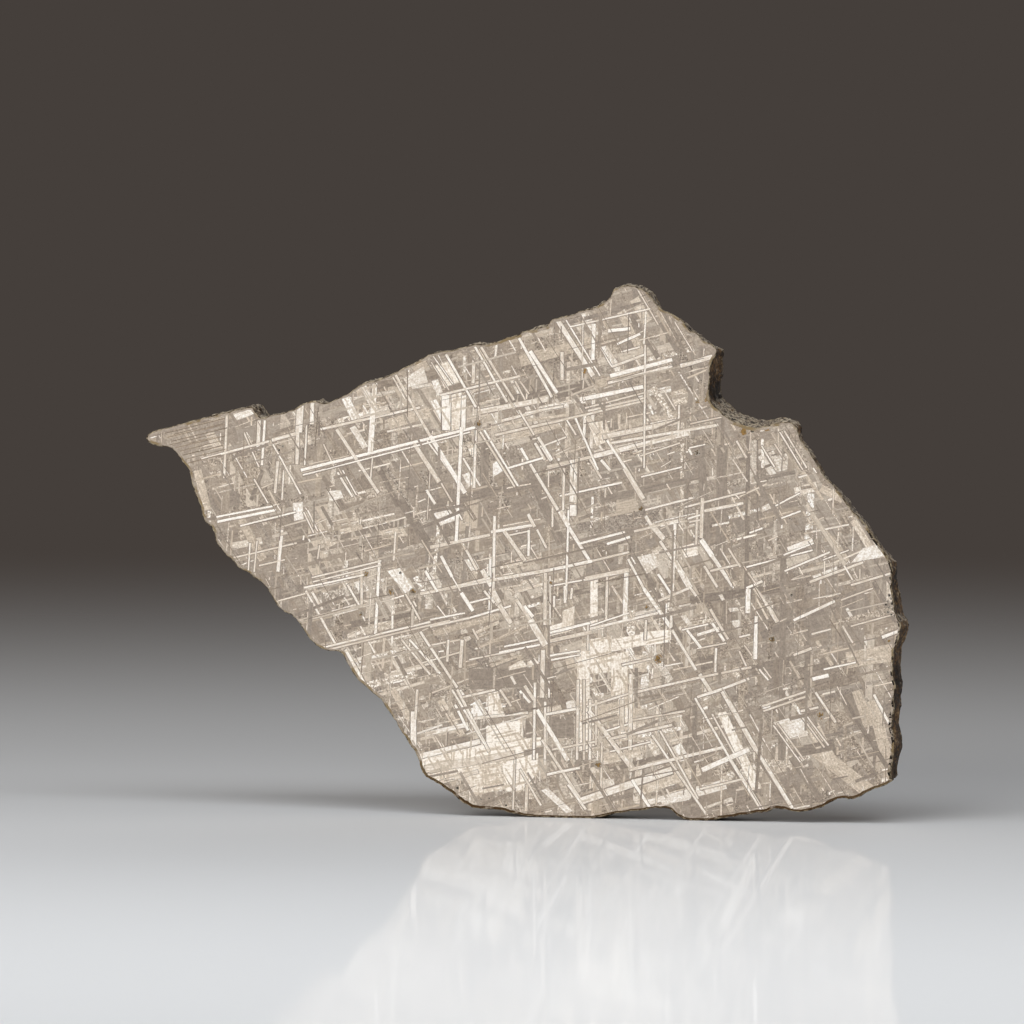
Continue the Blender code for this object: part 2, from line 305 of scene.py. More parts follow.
# %% Bright lines that fall steeply
BRIGHT_FALLING = [
    (243, 432, 258, 467, 2), (272, 444, 300, 494, 2.2), (253, 479, 267, 503, 2), (303, 512, 313, 533, 2),
    (307, 510, 317, 531, 2), (336, 429, 378, 493, 3.5), (323, 444, 333, 466, 2), (337, 472, 352, 497, 2.5),
    (342, 470, 356, 495, 2), (395, 374, 430, 436, 3), (433, 356, 453, 384, 1.5), (431, 362, 449, 390, 1.5),
    (446, 354, 476, 407, 3), (474, 345, 507, 402, 2.5), (481, 347, 514, 400, 3), (519, 338, 552, 397, 3),
    (530, 351, 557, 393, 4.5), (558, 321, 593, 376, 5), (566, 320, 600, 376, 2.2), (595, 340, 612, 367, 2),
    (637, 289, 658, 325, 2), (669, 313, 692, 351, 1.5), (519, 410, 534, 435, 2.5), (538, 437, 552, 460, 3),
    (567, 420, 576, 435, 2.5), (575, 417, 598, 470, 2.5), (587, 417, 598, 433, 5), (607, 440, 625, 468, 3),
    (515, 381, 525, 400, 2), (520, 381, 529, 394, 2), (484, 430, 518, 486, 2.5), (480, 431.5, 515, 487, 2.5),
    (521, 448, 528, 460, 3), (530, 464, 558, 510, 3.5), (560, 511, 568.5, 526, 5), (568.5, 527, 589, 560, 4),
    (535, 443, 545, 460, 3.5), (541, 445, 551, 461, 3), (430, 436, 465, 493, 4.5), (427, 441, 458, 482, 2),
    (414, 444, 439, 482, 4.5), (441, 483, 452, 502, 2.5), (454, 505, 462, 520, 2), (426, 490, 435, 504, 3),
    (463, 458, 480, 486, 2.5), (504, 531, 525, 561, 4), (528, 514, 534.5, 527, 4),
    (537, 529.5, 546.5, 548, 2.5),
    (466, 550, 477, 570, 3), (441, 556, 452, 577, 4), (452, 577, 460, 591, 2), (425, 571, 437, 592, 3),
    (482, 570, 491, 586.5, 5), (491, 588, 499, 603, 6), (499, 605, 511, 623.5, 5), (484, 591, 494.5, 603, 3),
    (461, 593, 473, 611, 4), (437, 606, 445, 616.5, 2), (472.5, 629, 478.5, 640, 2.5), (516, 599, 530, 620, 4),
    (530, 620, 545.5, 645.5, 6.5), (524, 606, 533, 617, 4), (590, 459, 601.5, 478.5, 2.5),
    (601, 460, 610, 470.5, 3), (624.6, 468, 643, 499, 5), (608, 487, 612, 494, 2), (645.5, 516, 651, 525, 4),
    (651, 524.5, 664, 539, 6), (660, 541, 673, 560.5, 3), (675, 561, 690, 588, 6), (689, 586, 696, 596, 3),
    (701, 539.5, 712, 556, 5.5), (712, 556, 728, 580, 4), (727, 579, 733, 588, 2.5), (704, 566, 717, 587, 3),
    (728, 548, 740, 567, 2.5), (735, 494.5, 739, 499, 2), (743, 566, 756, 584.5, 2), (754, 588, 770, 610, 4),
    (770, 610, 777, 622, 4.5), (658, 574, 671, 594, 3), (628, 559, 644, 589, 3), (644, 589, 671, 628, 4),
    (672, 630, 696, 670, 3), (699.5, 674, 711, 692, 4), (710, 609, 728, 639, 3), (712, 623, 724, 641, 3.5),
    (687, 630, 694, 639, 3), (694, 639, 701, 648, 3.5), (744, 645, 751.5, 655.5, 2), (759, 669, 768, 680, 2),
    (763, 667, 771, 678, 2), (739, 651, 746, 666, 2), (722.5, 691, 756, 750, 5.5), (756, 750, 792, 808, 4),
    (695, 698, 729, 757, 2.5), (712, 714, 740, 764, 2.2), (736, 441, 746, 458, 2.5), (761, 446, 774, 467, 2.2),
    (779, 432, 802, 470, 2), (783, 430, 806, 468, 2), (774, 444, 784, 460, 2), (688.5, 449, 691.5, 455, 2.5),
    (305, 591, 335, 645, 2.5), (311, 592, 322, 610, 3), (347, 585, 360, 608, 3), (405, 594, 420, 620, 2.5),
    (401, 640, 430, 675, 2.5), (409, 640, 440, 674, 2.5), (420, 632, 457, 688, 3.5), (430, 660, 438, 673, 3),
    (345, 650, 365, 686, 3.5), (457, 690, 489, 752, 3), (452, 690, 484, 744, 2.5), (455, 705, 468, 731, 3),
    (520, 691, 530, 703, 3), (500, 690, 511, 706.5, 3), (511, 676.5, 515.5, 684.5, 3),
    (524.5, 686, 534, 700, 4),
    (537, 710, 568, 761, 4.5), (542, 740, 580, 799, 3), (568, 785, 586, 810, 3), (589, 711, 632, 769, 5),
    (632, 780, 650, 808, 3.5), (652, 735, 708, 817, 2.5), (660, 731, 698, 799, 2.5), (729, 758, 762, 810, 4),
    (815, 692, 835, 722, 3), (773, 725, 800, 762, 2), (777, 723, 804, 760, 2), (801, 716, 824, 747, 2),
    (805, 714, 828, 745, 2), (873, 694, 895, 736, 3), (520, 770, 541, 806, 2.5), (840, 560, 852, 580, 2)]

# %% Cream lines, which are nearly upright, and a few broad cream bands
CREAM_LINES = [
    (226, 411, 223, 478, 3), (258, 420, 257, 450, 4.5), (264, 420, 261, 465, 3), (300, 402, 298, 432, 8),
    (312, 402, 311, 424, 4.5), (297, 432, 296, 464, 4), (306, 425, 304, 465, 2.5), (277, 461, 274, 493, 3),
    (283, 470, 281, 500, 2), (256, 541, 253, 572, 2), (249, 543, 247, 572, 2), (281, 530, 277, 572, 3.5),
    (319, 545, 317, 559, 2), (375, 380, 370, 452, 5.5), (372, 458, 370, 480, 2), (446, 395, 446, 430, 9),
    (464, 395, 463, 430, 5), (461.5, 427, 456, 541, 3.5), (476, 430, 474, 488, 3), (474, 360, 473, 383, 3.5),
    (430, 470, 427, 520, 1.5), (562, 352, 562, 380, 3.5), (583, 324, 582, 380, 1.5), (594, 324, 593, 360, 4),
    (585, 415, 584, 440, 3), (645, 345, 644, 468, 2.5), (679, 405, 678, 437, 2.5), (573.5, 460, 573, 502, 7),
    (573, 505, 573, 516, 7), (564, 468, 563, 510, 3), (568.5, 510, 566, 600, 2.5), (529, 530, 528.5, 556, 3),
    (494.5, 516, 493, 600, 3.5), (545.5, 573, 545, 625, 4), (550, 576, 550, 625, 2), (554, 596, 554, 607, 3),
    (565, 586, 565, 603, 3), (572, 588, 571, 599, 3), (543, 650, 542, 698, 5), (549, 681, 549, 698, 2),
    (702, 498, 701, 538, 4), (697, 510, 696, 545, 2.5), (675, 521, 672.5, 591, 4), (379, 560, 375, 635, 3),
    (361, 570, 361, 605, 3), (607, 577, 606, 620, 3), (626.5, 573, 625, 620, 5), (748, 589, 747.5, 613, 5.5),
    (756, 616, 755, 659, 4), (413, 712, 413, 750, 6), (417, 690, 415, 720, 3), (535, 683, 534, 760, 3),
    (545, 702, 545, 760, 3), (578, 680, 577, 760, 3), (584, 680, 584, 760, 2.5), (590, 700, 590, 760, 3),
    (596, 700, 596, 745, 2.5), (515, 760, 513, 810, 2), (527, 785, 526, 812, 3.5), (631, 674, 630, 750, 4),
    (622, 700, 622, 731, 4.5), (588, 623, 588, 650, 2), (671, 612, 671.5, 627, 3), (602, 742, 601, 790, 2.5),
    (646, 620, 645, 640, 3), (716, 648, 715, 672, 2.5), (425, 770, 515, 755, 8), (580, 802, 672, 770, 8),
    (448, 640, 447, 662, 3), (462, 640, 460, 668, 4)]

# %% Bright and cream patches, each as the four corners of its outline
WHITE_PATCHES = [
    (403, 378, 423, 366, 428, 382, 408, 387), (386, 571, 400, 568, 413, 588, 405, 594),
    (352, 583, 363, 580, 362, 600, 358, 592), (331, 611, 355, 604, 358, 610, 333, 617),
    (432, 514.5, 447, 506.5, 458, 520, 440, 526), (463.5, 560, 474, 558.5, 479.5, 569, 470.5, 571),
    (493, 463, 500, 459, 507, 468.5, 493, 477.5), (462, 475, 469, 472, 473, 484.5, 468, 487),
    (637, 557, 653, 553.5, 660.5, 564.5, 646.5, 574), (761, 507, 771, 502, 773, 508, 762, 512),
    (773, 722, 800, 714, 808, 733, 790, 738), (718, 595, 722, 594, 725, 599.5, 721.5, 601),
    (728, 608, 737, 607, 739, 611, 730, 612), (729.5, 621, 739, 619.5, 740, 629, 735.5, 629),
    (680, 616, 686, 615, 690.5, 623, 687, 625.5), (862, 548, 882, 543, 888, 556, 850, 563),
    (671, 748, 681, 743, 690, 758, 680, 762), (597, 783, 614, 779, 615, 788, 598, 793),
    (661, 800, 682, 794, 690, 800, 662, 805), (761, 706, 770, 702.5, 770, 708.5, 763, 709.5),
    (470, 705, 479.5, 699.5, 487.5, 714.5, 474, 719), (457.5, 690, 461, 690, 466, 697, 461, 698),
    (232, 414, 250, 407, 253, 414, 236, 420), (341, 399, 349, 396, 359, 417, 351, 420),
    (360, 388, 366, 385, 378, 409, 372, 412), (349, 428, 355, 425, 368, 446, 362, 449),
    (431, 381, 438, 379, 443, 393, 437, 396), (430, 401, 436, 399, 446, 417, 440, 420),
    (292, 503, 302, 502, 303, 519, 293, 521), (327, 491, 340, 490, 343, 498, 329, 502),
    (541, 791, 548, 788, 573, 811, 566, 814), (566, 702, 574, 700, 576.5, 709, 567, 710)]
CREAM_PATCHES = [
    (676.5, 547.5, 697, 542, 698, 554.5, 684.5, 558.5), (486, 727, 522, 720, 524, 757, 487, 760),
    (488, 694, 498, 691.5, 504, 714.5, 488, 718), (562.5, 611, 575, 606, 574, 630, 562, 634),
    (550, 626, 564, 622, 564, 633, 550, 636), (590, 580, 598, 578, 598, 625, 590, 628),
    (585, 643, 671, 629, 671, 640, 590, 656), (586, 640, 612, 636, 611, 672, 590, 674),
    (611, 655, 629, 651, 628, 694, 611, 696), (577, 652, 590, 650, 590, 704, 577, 706),
    (466, 443, 476, 440, 474, 457, 471, 456), (508.5, 667, 522, 660, 528, 667, 509, 671),
    (527, 663, 534, 658, 540, 664, 530, 666), (717, 713, 726, 711, 762, 788, 752, 790),
    (419, 757, 470, 745, 541, 737, 541, 747, 480, 760, 421, 772), (424, 776, 495, 759, 497, 768, 430, 783),
    (502, 763, 538, 753, 539, 772, 520, 793, 506, 792), (618, 694, 636, 690, 636, 738, 619, 742),
    (577, 704, 592, 704, 590, 752, 578, 752), (462, 770, 500, 764, 504, 790, 470, 796),
    (640, 632, 671, 629, 670, 642, 642, 646), (588, 424, 606, 420, 612, 440, 596, 446),
    (434, 366, 452, 360, 462, 380, 444, 388), (446, 396, 462, 392, 462, 430, 448, 436)]

# %% Brown hatching on the horn
HORN_HATCH = [
    (163, 433, 224, 418, 0.9), (166, 437, 222, 423.5, 0.8), (170, 441, 226, 427.5, 1.0),
    (168, 444.5, 214, 433.5, 0.8), (174, 447.5, 224, 435.5, 0.9), (178, 451, 222, 440, 0.8),
    (181, 455, 222, 445, 1.0), (184, 459, 224, 449, 0.8), (186, 463, 220, 454.5, 0.9),
    (200, 430, 224, 424, 0.7), (172, 434, 196, 428, 0.7), (188, 443, 212, 437, 0.7)]

# %% Pale and dark bands and fields, which lie under the lines
PALE_BANDS = [
    (504, 424, 566, 415, 3), (661, 312, 677, 339, 4), (800, 468, 822, 500, 4), (810, 515, 848, 560, 5),
    (326, 545, 362, 527, 7), (433, 634, 499, 616, 6), (474, 634, 499, 622, 4), (476, 649, 529, 625, 3),
    (490, 666, 522, 657, 5), (500, 568, 541, 558, 3), (714, 559, 733, 556, 3), (590, 716, 640, 704, 14),
    (436, 780, 510, 762, 10), (640, 655, 640, 672, 14), (500, 440, 560, 424, 8), (820, 488, 842, 500, 9),
    (560, 395, 640, 372, 9), (600, 760, 640, 750, 12), (846, 660, 892, 652, 16), (872, 700, 886, 760, 12),
    (810, 745, 870, 792, 16), (640, 790, 700, 770, 12), (470, 790, 520, 776, 16), (388, 424, 430, 412, 10),
    (520, 361, 600, 340, 12), (620, 312, 640, 350, 8), (852, 520, 874, 556, 8), (240, 520, 262, 560, 8),
    (196, 470, 206, 510, 8), (440, 700, 462, 736, 8), (392, 690, 410, 720, 8), (812, 725, 832, 766, 16),
    (856, 690, 868, 726, 12)]
DARK_BANDS = [
    (660, 323, 677, 351, 5), (631, 317, 658, 358, 5), (837, 690, 890, 772, 5), (791, 757, 820, 799, 8),
    (760, 759, 786, 799, 6), (828, 603, 858, 665, 1.5), (815, 505, 850, 560, 2), (530, 474, 562, 544, 10),
    (665, 643, 686, 671.5, 4), (748, 436, 746, 600, 5), (783, 540, 781, 760, 7), (695, 700, 693, 815, 5),
    (549, 625, 549, 700, 3), (757, 440, 757, 520, 2), (485, 442, 484, 492, 9), (500, 404, 596, 384, 12),
    (430, 505, 560, 478, 8), (469, 680, 537, 677, 22), (523.5, 731, 531.5, 731, 20), (552, 728, 574, 727, 20),
    (795, 752, 834, 744, 12), (700, 664, 717, 661, 14), (596, 684, 610, 683, 20), (690, 600, 780, 588, 8),
    (640, 560, 680, 640, 6), (570, 545, 640, 530, 8), (400, 500, 430, 548, 9), (330, 540, 420, 518, 6),
    (600, 500, 690, 480, 7), (540, 600, 600, 588, 6), (350, 625, 420, 612, 6), (455, 595, 520, 582, 5),
    (700, 440, 706, 540, 9), (722, 446, 720, 560, 12), (808, 610, 806, 700, 6), (610, 770, 680, 752, 5),
    (272, 548, 340, 532, 5), (250, 500, 262, 470, 4), (380, 470, 398, 506, 6)]
print(len(BRIGHT_RISING) + len(BRIGHT_STEEPER) + len(BRIGHT_FALLING), "bright lines and",
      len(CREAM_LINES), "cream ones chosen by eye")

# %% [markdown]
# ## Bands as outlines with a look
#
# Each band is a small convex outline in the plane of the face, in millimetres. It carries its axis, so
# that the shader can run its grain along it, and its look: how bright the alloy is, how warm its tint,
# how speckled it is, and a number of its own for the noise. Later bands in the list cut earlier ones.
# A plate's cut is a straight strip, so a convex outline is enough, and it is the easiest shape to cut.

# %% How many bands are painted bright with sheen, from place to place
BAND, SPOT, RIM = 0.0, 1.0, 2.0          # what kind of place it is, for the shader
rng = random.Random(7)

# where more of the bands are painted bright, as painted sheen of plates that catch the light: the middle
# of the zone, its reach, and the share there
SHEEN_ZONES = [
    (475, 420, 60, 55, 0.68), (525, 405, 65, 32, 0.50), (612, 345, 50, 60, 0.28), (632, 428, 65, 50, 0.48),
    (385, 405, 65, 45, 0.50), (625, 648, 75, 65, 0.80), (490, 750, 90, 70, 0.75), (635, 745, 90, 60, 0.60),
    (760, 745, 50, 50, 0.38), (680, 550, 55, 65, 0.45), (350, 590, 80, 50, 0.50), (525, 585, 65, 65, 0.50),
    (835, 530, 40, 55, 0.35), (870, 660, 35, 70, 0.30), (590, 480, 55, 65, 0.45), (285, 470, 65, 55, 0.30),
    (380, 665, 55, 60, 0.75), (350, 542, 75, 32, 0.55), (765, 592, 35, 35, 0.42), (425, 600, 45, 60, 0.45)]
LEAST_SHEEN = 0.10                      # the share away from all zones
ZONES = [(square_on(right, down) / MM, np.array((wide, high)) * TENTH / MM, share)
         for right, down, wide, high, share in SHEEN_ZONES]


def sheen_share(point):
    """The share of bands that are painted bright, as painted sheen, at a point of the face, in millimetres."""
    return max([LEAST_SHEEN] + [share * (1.0 - float(np.sum(((point - middle) / reach) ** 2)))
                                 for middle, reach, share in ZONES])


# %% A band from its corners
def as_band(corners, tone, warm, speckle=0.0, kind=BAND):
    """A band from its corners in millimetres, put anticlockwise, with its axis and half its width."""
    corners = np.asarray(corners, float)
    nexts = np.roll(corners, -1, axis=0)
    if np.sum(corners[:, 0] * nexts[:, 1] - nexts[:, 0] * corners[:, 1]) < 0.0:
        corners = corners[::-1]
        nexts = np.roll(corners, -1, axis=0)
    runs = nexts - corners
    longest = runs[np.argmax(np.hypot(runs[:, 0], runs[:, 1]))]
    angle = math.atan2(longest[1], longest[0])
    side = np.array((-math.sin(angle), math.cos(angle)))
    across = corners @ side
    outwards = np.column_stack((runs[:, 1], -runs[:, 0]))
    planes = np.column_stack((outwards, np.sum(corners * outwards, axis=1)))
    centre = corners.mean(axis=0)
    centre = centre + ((across.max() + across.min()) / 2.0 - centre @ side) * side
    return {"corners": corners, "planes": planes, "low": corners.min(axis=0), "high": corners.max(axis=0),
            "axis": (centre[0], centre[1], angle, (across.max() - across.min()) / 2.0),
            "look": (tone, warm, speckle, rng.random()), "kind": kind, "sheen_crowd": sheen_share(centre)}


# %% Listed bands, patches and spots as outlines
END_WIDTHS = (0.85, 1.12)                # a listed band's width at an end, as a share of its listed width


def strip(listed, tone, warm, speckle=0.0, shift=0.0):
    """A band from its two ends and its width, as listed, moved sideways by shift in millimetres. Its ends
    are a little unequal, as grown ones are."""
    start, end = square_on(*listed[:2]) / MM, square_on(*listed[2:4]) / MM
    run = (end - start) / np.linalg.norm(end - start)
    aside = np.array((-run[1], run[0]))
    start, end = start + shift * aside, end + shift * aside
    side = aside * listed[4] * TENTH / MM / 2.0
    first, last = rng.uniform(*END_WIDTHS), rng.uniform(*END_WIDTHS)
    return as_band((start + side * first, start - side * first, end - side * last, end + side * last),
                   tone, warm, speckle)


def patch(listed, tone, warm, speckle=0.0, shift=(0.0, 0.0)):
    """A band from the corners of its outline, as listed, moved by shift in millimetres."""
    return as_band([square_on(*listed[i:i + 2]) / MM + shift for i in range(0, len(listed), 2)],
                   tone, warm, speckle)


SPOT_SIDES = 12                          # the most sides that an outline has


def disc(right, down, radius, tone, warm):
    """A round spot, such as the cut through a bead of another mineral."""
    centre = square_on(right, down) / MM
    radius = radius * TENTH / MM
    turns = [2.0 * math.pi * i / SPOT_SIDES for i in range(SPOT_SIDES)]
    spot = as_band([centre + radius * np.array((math.cos(a), math.sin(a))) for a in turns],
                   tone, warm, 0.0, SPOT)
    spot["axis"] = (centre[0], centre[1], 0.0, radius)
    return spot


# %% [markdown]
# ## Bands that weren't chosen one by one
#
# Between the bold bands lie thousands of smaller ones, too many to list. A node tree sows them over the
# face in each of the four directions: it scatters points, sets a small rectangle on each, and gives it
# a length, a width and a slight turn of its own. It runs once for each kind of band.

# %% The tree that sows rectangles
def sowing_tree():
    """Geometry nodes: sows rectangles over a face, in its own plane."""
    tree, given, out = new_tree("lamella_sowing", [
        ("Face", "Geometry"), ("Spacing", "Float"), ("Shortest", "Float"), ("Longest", "Float"),
        ("Thinnest", "Float"), ("Widest", "Float"), ("Lean", "Float"), ("Lean Spread", "Float"),
        ("Seed", "Int"), ("Material", "Material")])
    # three tries for each place that can hold a point, and then they are thinned to the spacing
    area = add(tree, "ShaderNodeMath", {0: given["Spacing"], 1: 2.0}, operation="POWER")
    density = add(tree, "ShaderNodeMath", {0: 3.0, 1: area}, operation="DIVIDE")
    points = add(tree, "GeometryNodeDistributePointsOnFaces", {
        "Mesh": given["Face"], "Distance Min": given["Spacing"], "Density Max": density,
        "Seed": given["Seed"]}, distribute_method="POISSON")
    square = add(tree, "GeometryNodeMeshGrid", {"Size X": 1.0, "Size Y": 1.0, "Vertices X": 2, "Vertices Y": 2})
    upright = add(tree, "GeometryNodeTransform", {
        "Geometry": square, "Rotation": (math.radians(90.0), 0.0, 0.0)})
    draws = []
    for number in range(3):
        seed = add(tree, "ShaderNodeMath", {0: given["Seed"], 1: 100.0 * (number + 1)}, operation="ADD")
        draw = add(tree, "FunctionNodeRandomValue", {2: 0.0, 3: 1.0, "Seed": seed}, data_type="FLOAT")
        draws.append(draw.outputs[1])
    # most bands are short and thin, so a draw is squared before it picks from the range
    long_draw = add(tree, "ShaderNodeMath", {0: draws[0], 1: 2.0}, operation="POWER")
    wide_draw = add(tree, "ShaderNodeMath", {0: draws[1], 1: 2.0}, operation="POWER")
    length = add(tree, "ShaderNodeMapRange", {"Value": long_draw, "To Min": given["Shortest"],
                                              "To Max": given["Longest"]})
    width = add(tree, "ShaderNodeMapRange", {"Value": wide_draw, "To Min": given["Thinnest"],
                                             "To Max": given["Widest"]})
    off = add(tree, "ShaderNodeMapRange", {"Value": draws[2], "To Min": -1.0, "To Max": 1.0})
    turned = add(tree, "ShaderNodeMath", {0: off, 1: given["Lean Spread"], 2: given["Lean"]},
                 operation="MULTIPLY_ADD")
    back = add(tree, "ShaderNodeMath", {0: turned, 1: -1.0}, operation="MULTIPLY")
    rotation = add(tree, "ShaderNodeCombineXYZ", {"Y": back})
    scale = add(tree, "ShaderNodeCombineXYZ", {"X": length, "Y": 1.0, "Z": width})
    sown = add(tree, "GeometryNodeInstanceOnPoints", {"Points": points, "Instance": upright,
                                                      "Rotation": rotation, "Scale": scale})
    real = add(tree, "GeometryNodeRealizeInstances", {"Geometry": sown})
    dressed = add(tree, "GeometryNodeSetMaterial", {"Geometry": real, "Material": given["Material"]})
    tree.links.new(dressed.outputs[0], out.inputs[0])
    return tree


# %% Sow rectangles over the face
etched = bpy.data.materials.new("etched_nickel_iron")
sowing = sowing_tree()
DIRECTIONS = (13.6, 22.5, -58.5, 87.5)    # degrees from level, of the four sets of plates on the face


def face_polygon():
    """The etched face's outline as one flat face, to sow on."""
    slab = read_slab()
    others = [f for f in slab.faces if any(v.co.y >= 0.01 * MM - THICKNESS / 2.0 for v in f.verts)]
    bmesh.ops.delete(slab, geom=others, context="FACES")
    face = bpy.data.meshes.new("etched_face")
    slab.to_mesh(face)
    slab.free()
    return face


def sow(face, seed, shares, spacing, longs, wides, spread, tones, sheen_tones, warms, speckles):
    """Rectangles in all directions. shares is how closely each direction is sown, 1 being spacing. A share
    of the bands, larger in the sheen zones, takes the second range of tones: painted sheen.
    """
    bands = []
    for number, (lean, share) in enumerate(zip(DIRECTIONS, shares)):
        if share <= 0.0:
            continue
        quads = run_tree(face, sowing, {
            "Spacing": spacing * MM / math.sqrt(share), "Shortest": longs[0] * MM, "Longest": longs[1] * MM,
            "Thinnest": wides[0] * MM, "Widest": wides[1] * MM, "Lean": math.radians(lean),
            "Lean Spread": math.radians(spread), "Seed": seed + number, "Material": etched})
        flat = np.array([v.co[:] for v in quads.vertices])[:, (0, 2)] / MM
        for polygon in quads.polygons:
            corners = flat[list(polygon.vertices)]
            # a band here is painted bright, as painted sheen, as often as the zones say
            is_bright = rng.random() < sheen_share(corners.mean(axis=0))
            bands.append(as_band(corners, rng.uniform(*(sheen_tones if is_bright else tones)), rng.uniform(*warms),
                                 rng.choice(speckles)))
        bpy.data.meshes.remove(quads)
    rng.shuffle(bands)
    return bands


# %% [markdown]
# ## One face, cut along its bands
#
# A shader alone can't put thousands of bands in their places, and strips laid on top would stand off
# the metal. So every band's edge is drawn on the face where no later band covers it, the face is cut
# into triangles along all these edges, and each triangle takes the look of the topmost band over it.
# Each band is then a real, sharp patch of the one closed mesh.

# %% Which part of each edge shows
AT_ONCE = 2000                           # points that are tested together, to spare memory
PARALLEL = 1e-12                         # below this a segment runs along an outline's side
SHORTEST = 0.01                          # shown part of an edge, in millimetres


def inside_ring(points, ring):
    """Which points are inside a closed ring, by counting the ring's crossings to their right."""
    nexts = np.roll(ring, -1, axis=0)
    slope = (nexts[:, 0] - ring[:, 0]) / np.where(nexts[:, 1] == ring[:, 1], 1.0, nexts[:, 1] - ring[:, 1])
    result = np.zeros(len(points), bool)
    for first in range(0, len(points), AT_ONCE):
        x, y = points[first:first + AT_ONCE, 0, None], points[first:first + AT_ONCE, 1, None]
        spans = (ring[:, 1] > y) != (nexts[:, 1] > y)
        crossings = np.sum(spans & (x < slope * (y - ring[:, 1]) + ring[:, 0]), axis=1)
        result[first:first + AT_ONCE] = crossings % 2 == 1
    return result


def hidden_parts(starts, runs, planes):
    """Where segments lie in convex outlines: entering and leaving shares, segment by outline."""
    room = planes[None, :, :, 2] - np.einsum("mki,si->smk", planes[:, :, :2], starts)
    speed = np.einsum("mki,si->smk", planes[:, :, :2], runs)
    meets = room / np.where(np.abs(speed) < PARALLEL, 1.0, speed)
    enter = np.max(np.where(speed < -PARALLEL, meets, 0.0), axis=2)
    leave = np.min(np.where(speed > PARALLEL, meets, 1.0), axis=2)
    outside = np.any((np.abs(speed) <= PARALLEL) & (room < 0.0), axis=2)
    return np.maximum(enter, 0.0), np.where(outside, -1.0, np.minimum(leave, 1.0))


def parts_inside(start, run, ring):
    """The parts of a segment inside a closed ring of points, as (t0, t1)."""
    edges = np.roll(ring, -1, axis=0) - ring
    cross = run[0] * edges[:, 1] - run[1] * edges[:, 0]
    cross[cross == 0.0] = PARALLEL
    offset = ring - start
    along = (offset[:, 0] * edges[:, 1] - offset[:, 1] * edges[:, 0]) / cross
    share = (offset[:, 0] * run[1] - offset[:, 1] * run[0]) / cross
    hits = along[(share >= 0.0) & (share < 1.0) & (along > 0.0) & (along < 1.0)]
    stops = np.array([0.0] + sorted(hits.tolist()) + [1.0])
    middles = start + run * ((stops[1:] + stops[:-1]) / 2.0)[:, None]
    return [(a, b) for a, b, held in zip(stops, stops[1:], inside_ring(middles, ring)) if held and b > a]


# %% The visible edges of all the bands
TOUCH = 1e-9                             # a shorter overlap only touches, and hides nothing


def shown_edges(bands, ring):
    """The visible parts of all the bands' edges, as pairs of points."""
    lows, highs = np.array([b["low"] for b in bands]), np.array([b["high"] for b in bands])
    planes = np.tile(np.array((0.0, 0.0, 1.0)), (len(bands), SPOT_SIDES, 1))
    for number, band in enumerate(bands):
        planes[number, :len(band["planes"])] = band["planes"]
    ring_low = np.minimum(ring, np.roll(ring, -1, axis=0))
    ring_high = np.maximum(ring, np.roll(ring, -1, axis=0))
    centre_in = inside_ring((lows + highs) / 2.0, ring)
    pieces = []
    for number, band in enumerate(bands):
        low, high = band["low"], band["high"]
        near_ring = np.any(np.all((ring_low <= high) & (ring_high >= low), axis=1))
        if not near_ring and not centre_in[number]:
            continue
        later_lows, later_highs = lows[number + 1:], highs[number + 1:]
        above = number + 1 + np.flatnonzero(np.all((later_lows <= high) & (later_highs >= low), axis=1))
        starts = band["corners"]
        runs = np.roll(starts, -1, axis=0) - starts
        enters, leaves = hidden_parts(starts, runs, planes[above])
        for start, run, enter, leave in zip(starts, runs, enters, leaves):
            hides = leave - enter > TOUCH
            hidden = sorted(zip(enter[hides].tolist(), leave[hides].tolist()))
            shortest = SHORTEST / np.hypot(*run)
            for reached, last in parts_inside(start, run, ring) if near_ring else [(0.0, 1.0)]:
                for covered_from, covered_to in hidden + [(last, last)]:
                    stop = min(covered_from, last)
                    if stop - reached > shortest:
                        pieces.append((start + run * reached, start + run * stop))
                    reached = max(reached, covered_to)
    return pieces


# %% Cut the face along them
def inset_ring(ring, low, high, seed):
    """The ring moved inwards by between low and high, which varies slowly along it."""
    nexts, befores = np.roll(ring, -1, axis=0), np.roll(ring, 1, axis=0)
    runs = nexts - befores
    runs = (runs + np.roll(runs, 1, axis=0) + np.roll(runs, -1, axis=0)) / 3.0
    normals = np.column_stack((-runs[:, 1], runs[:, 0])) / np.linalg.norm(runs, axis=1)[:, None]
    turns = np.linspace(0.0, 2.0 * math.pi, len(ring), endpoint=False)
    draws = np.random.default_rng(seed)
    wave = sum(np.sin(turns * n + draws.uniform(0.0, 6.3)) / math.sqrt(n) for n in (5, 11, 23, 47))
    wave = (wave - wave.min()) / (wave.max() - wave.min())
    return ring + normals * (low + (high - low) * wave)[:, None]


RIM_WIDTHS = (0.05, 0.30)                # of the tarnished rim, narrowest and widest, in millimetres
MERGE = 0.002                            # points closer than this become one, in millimetres
NO_BAND, ON_RIM = -1, -2                 # a triangle's owner where it isn't a band


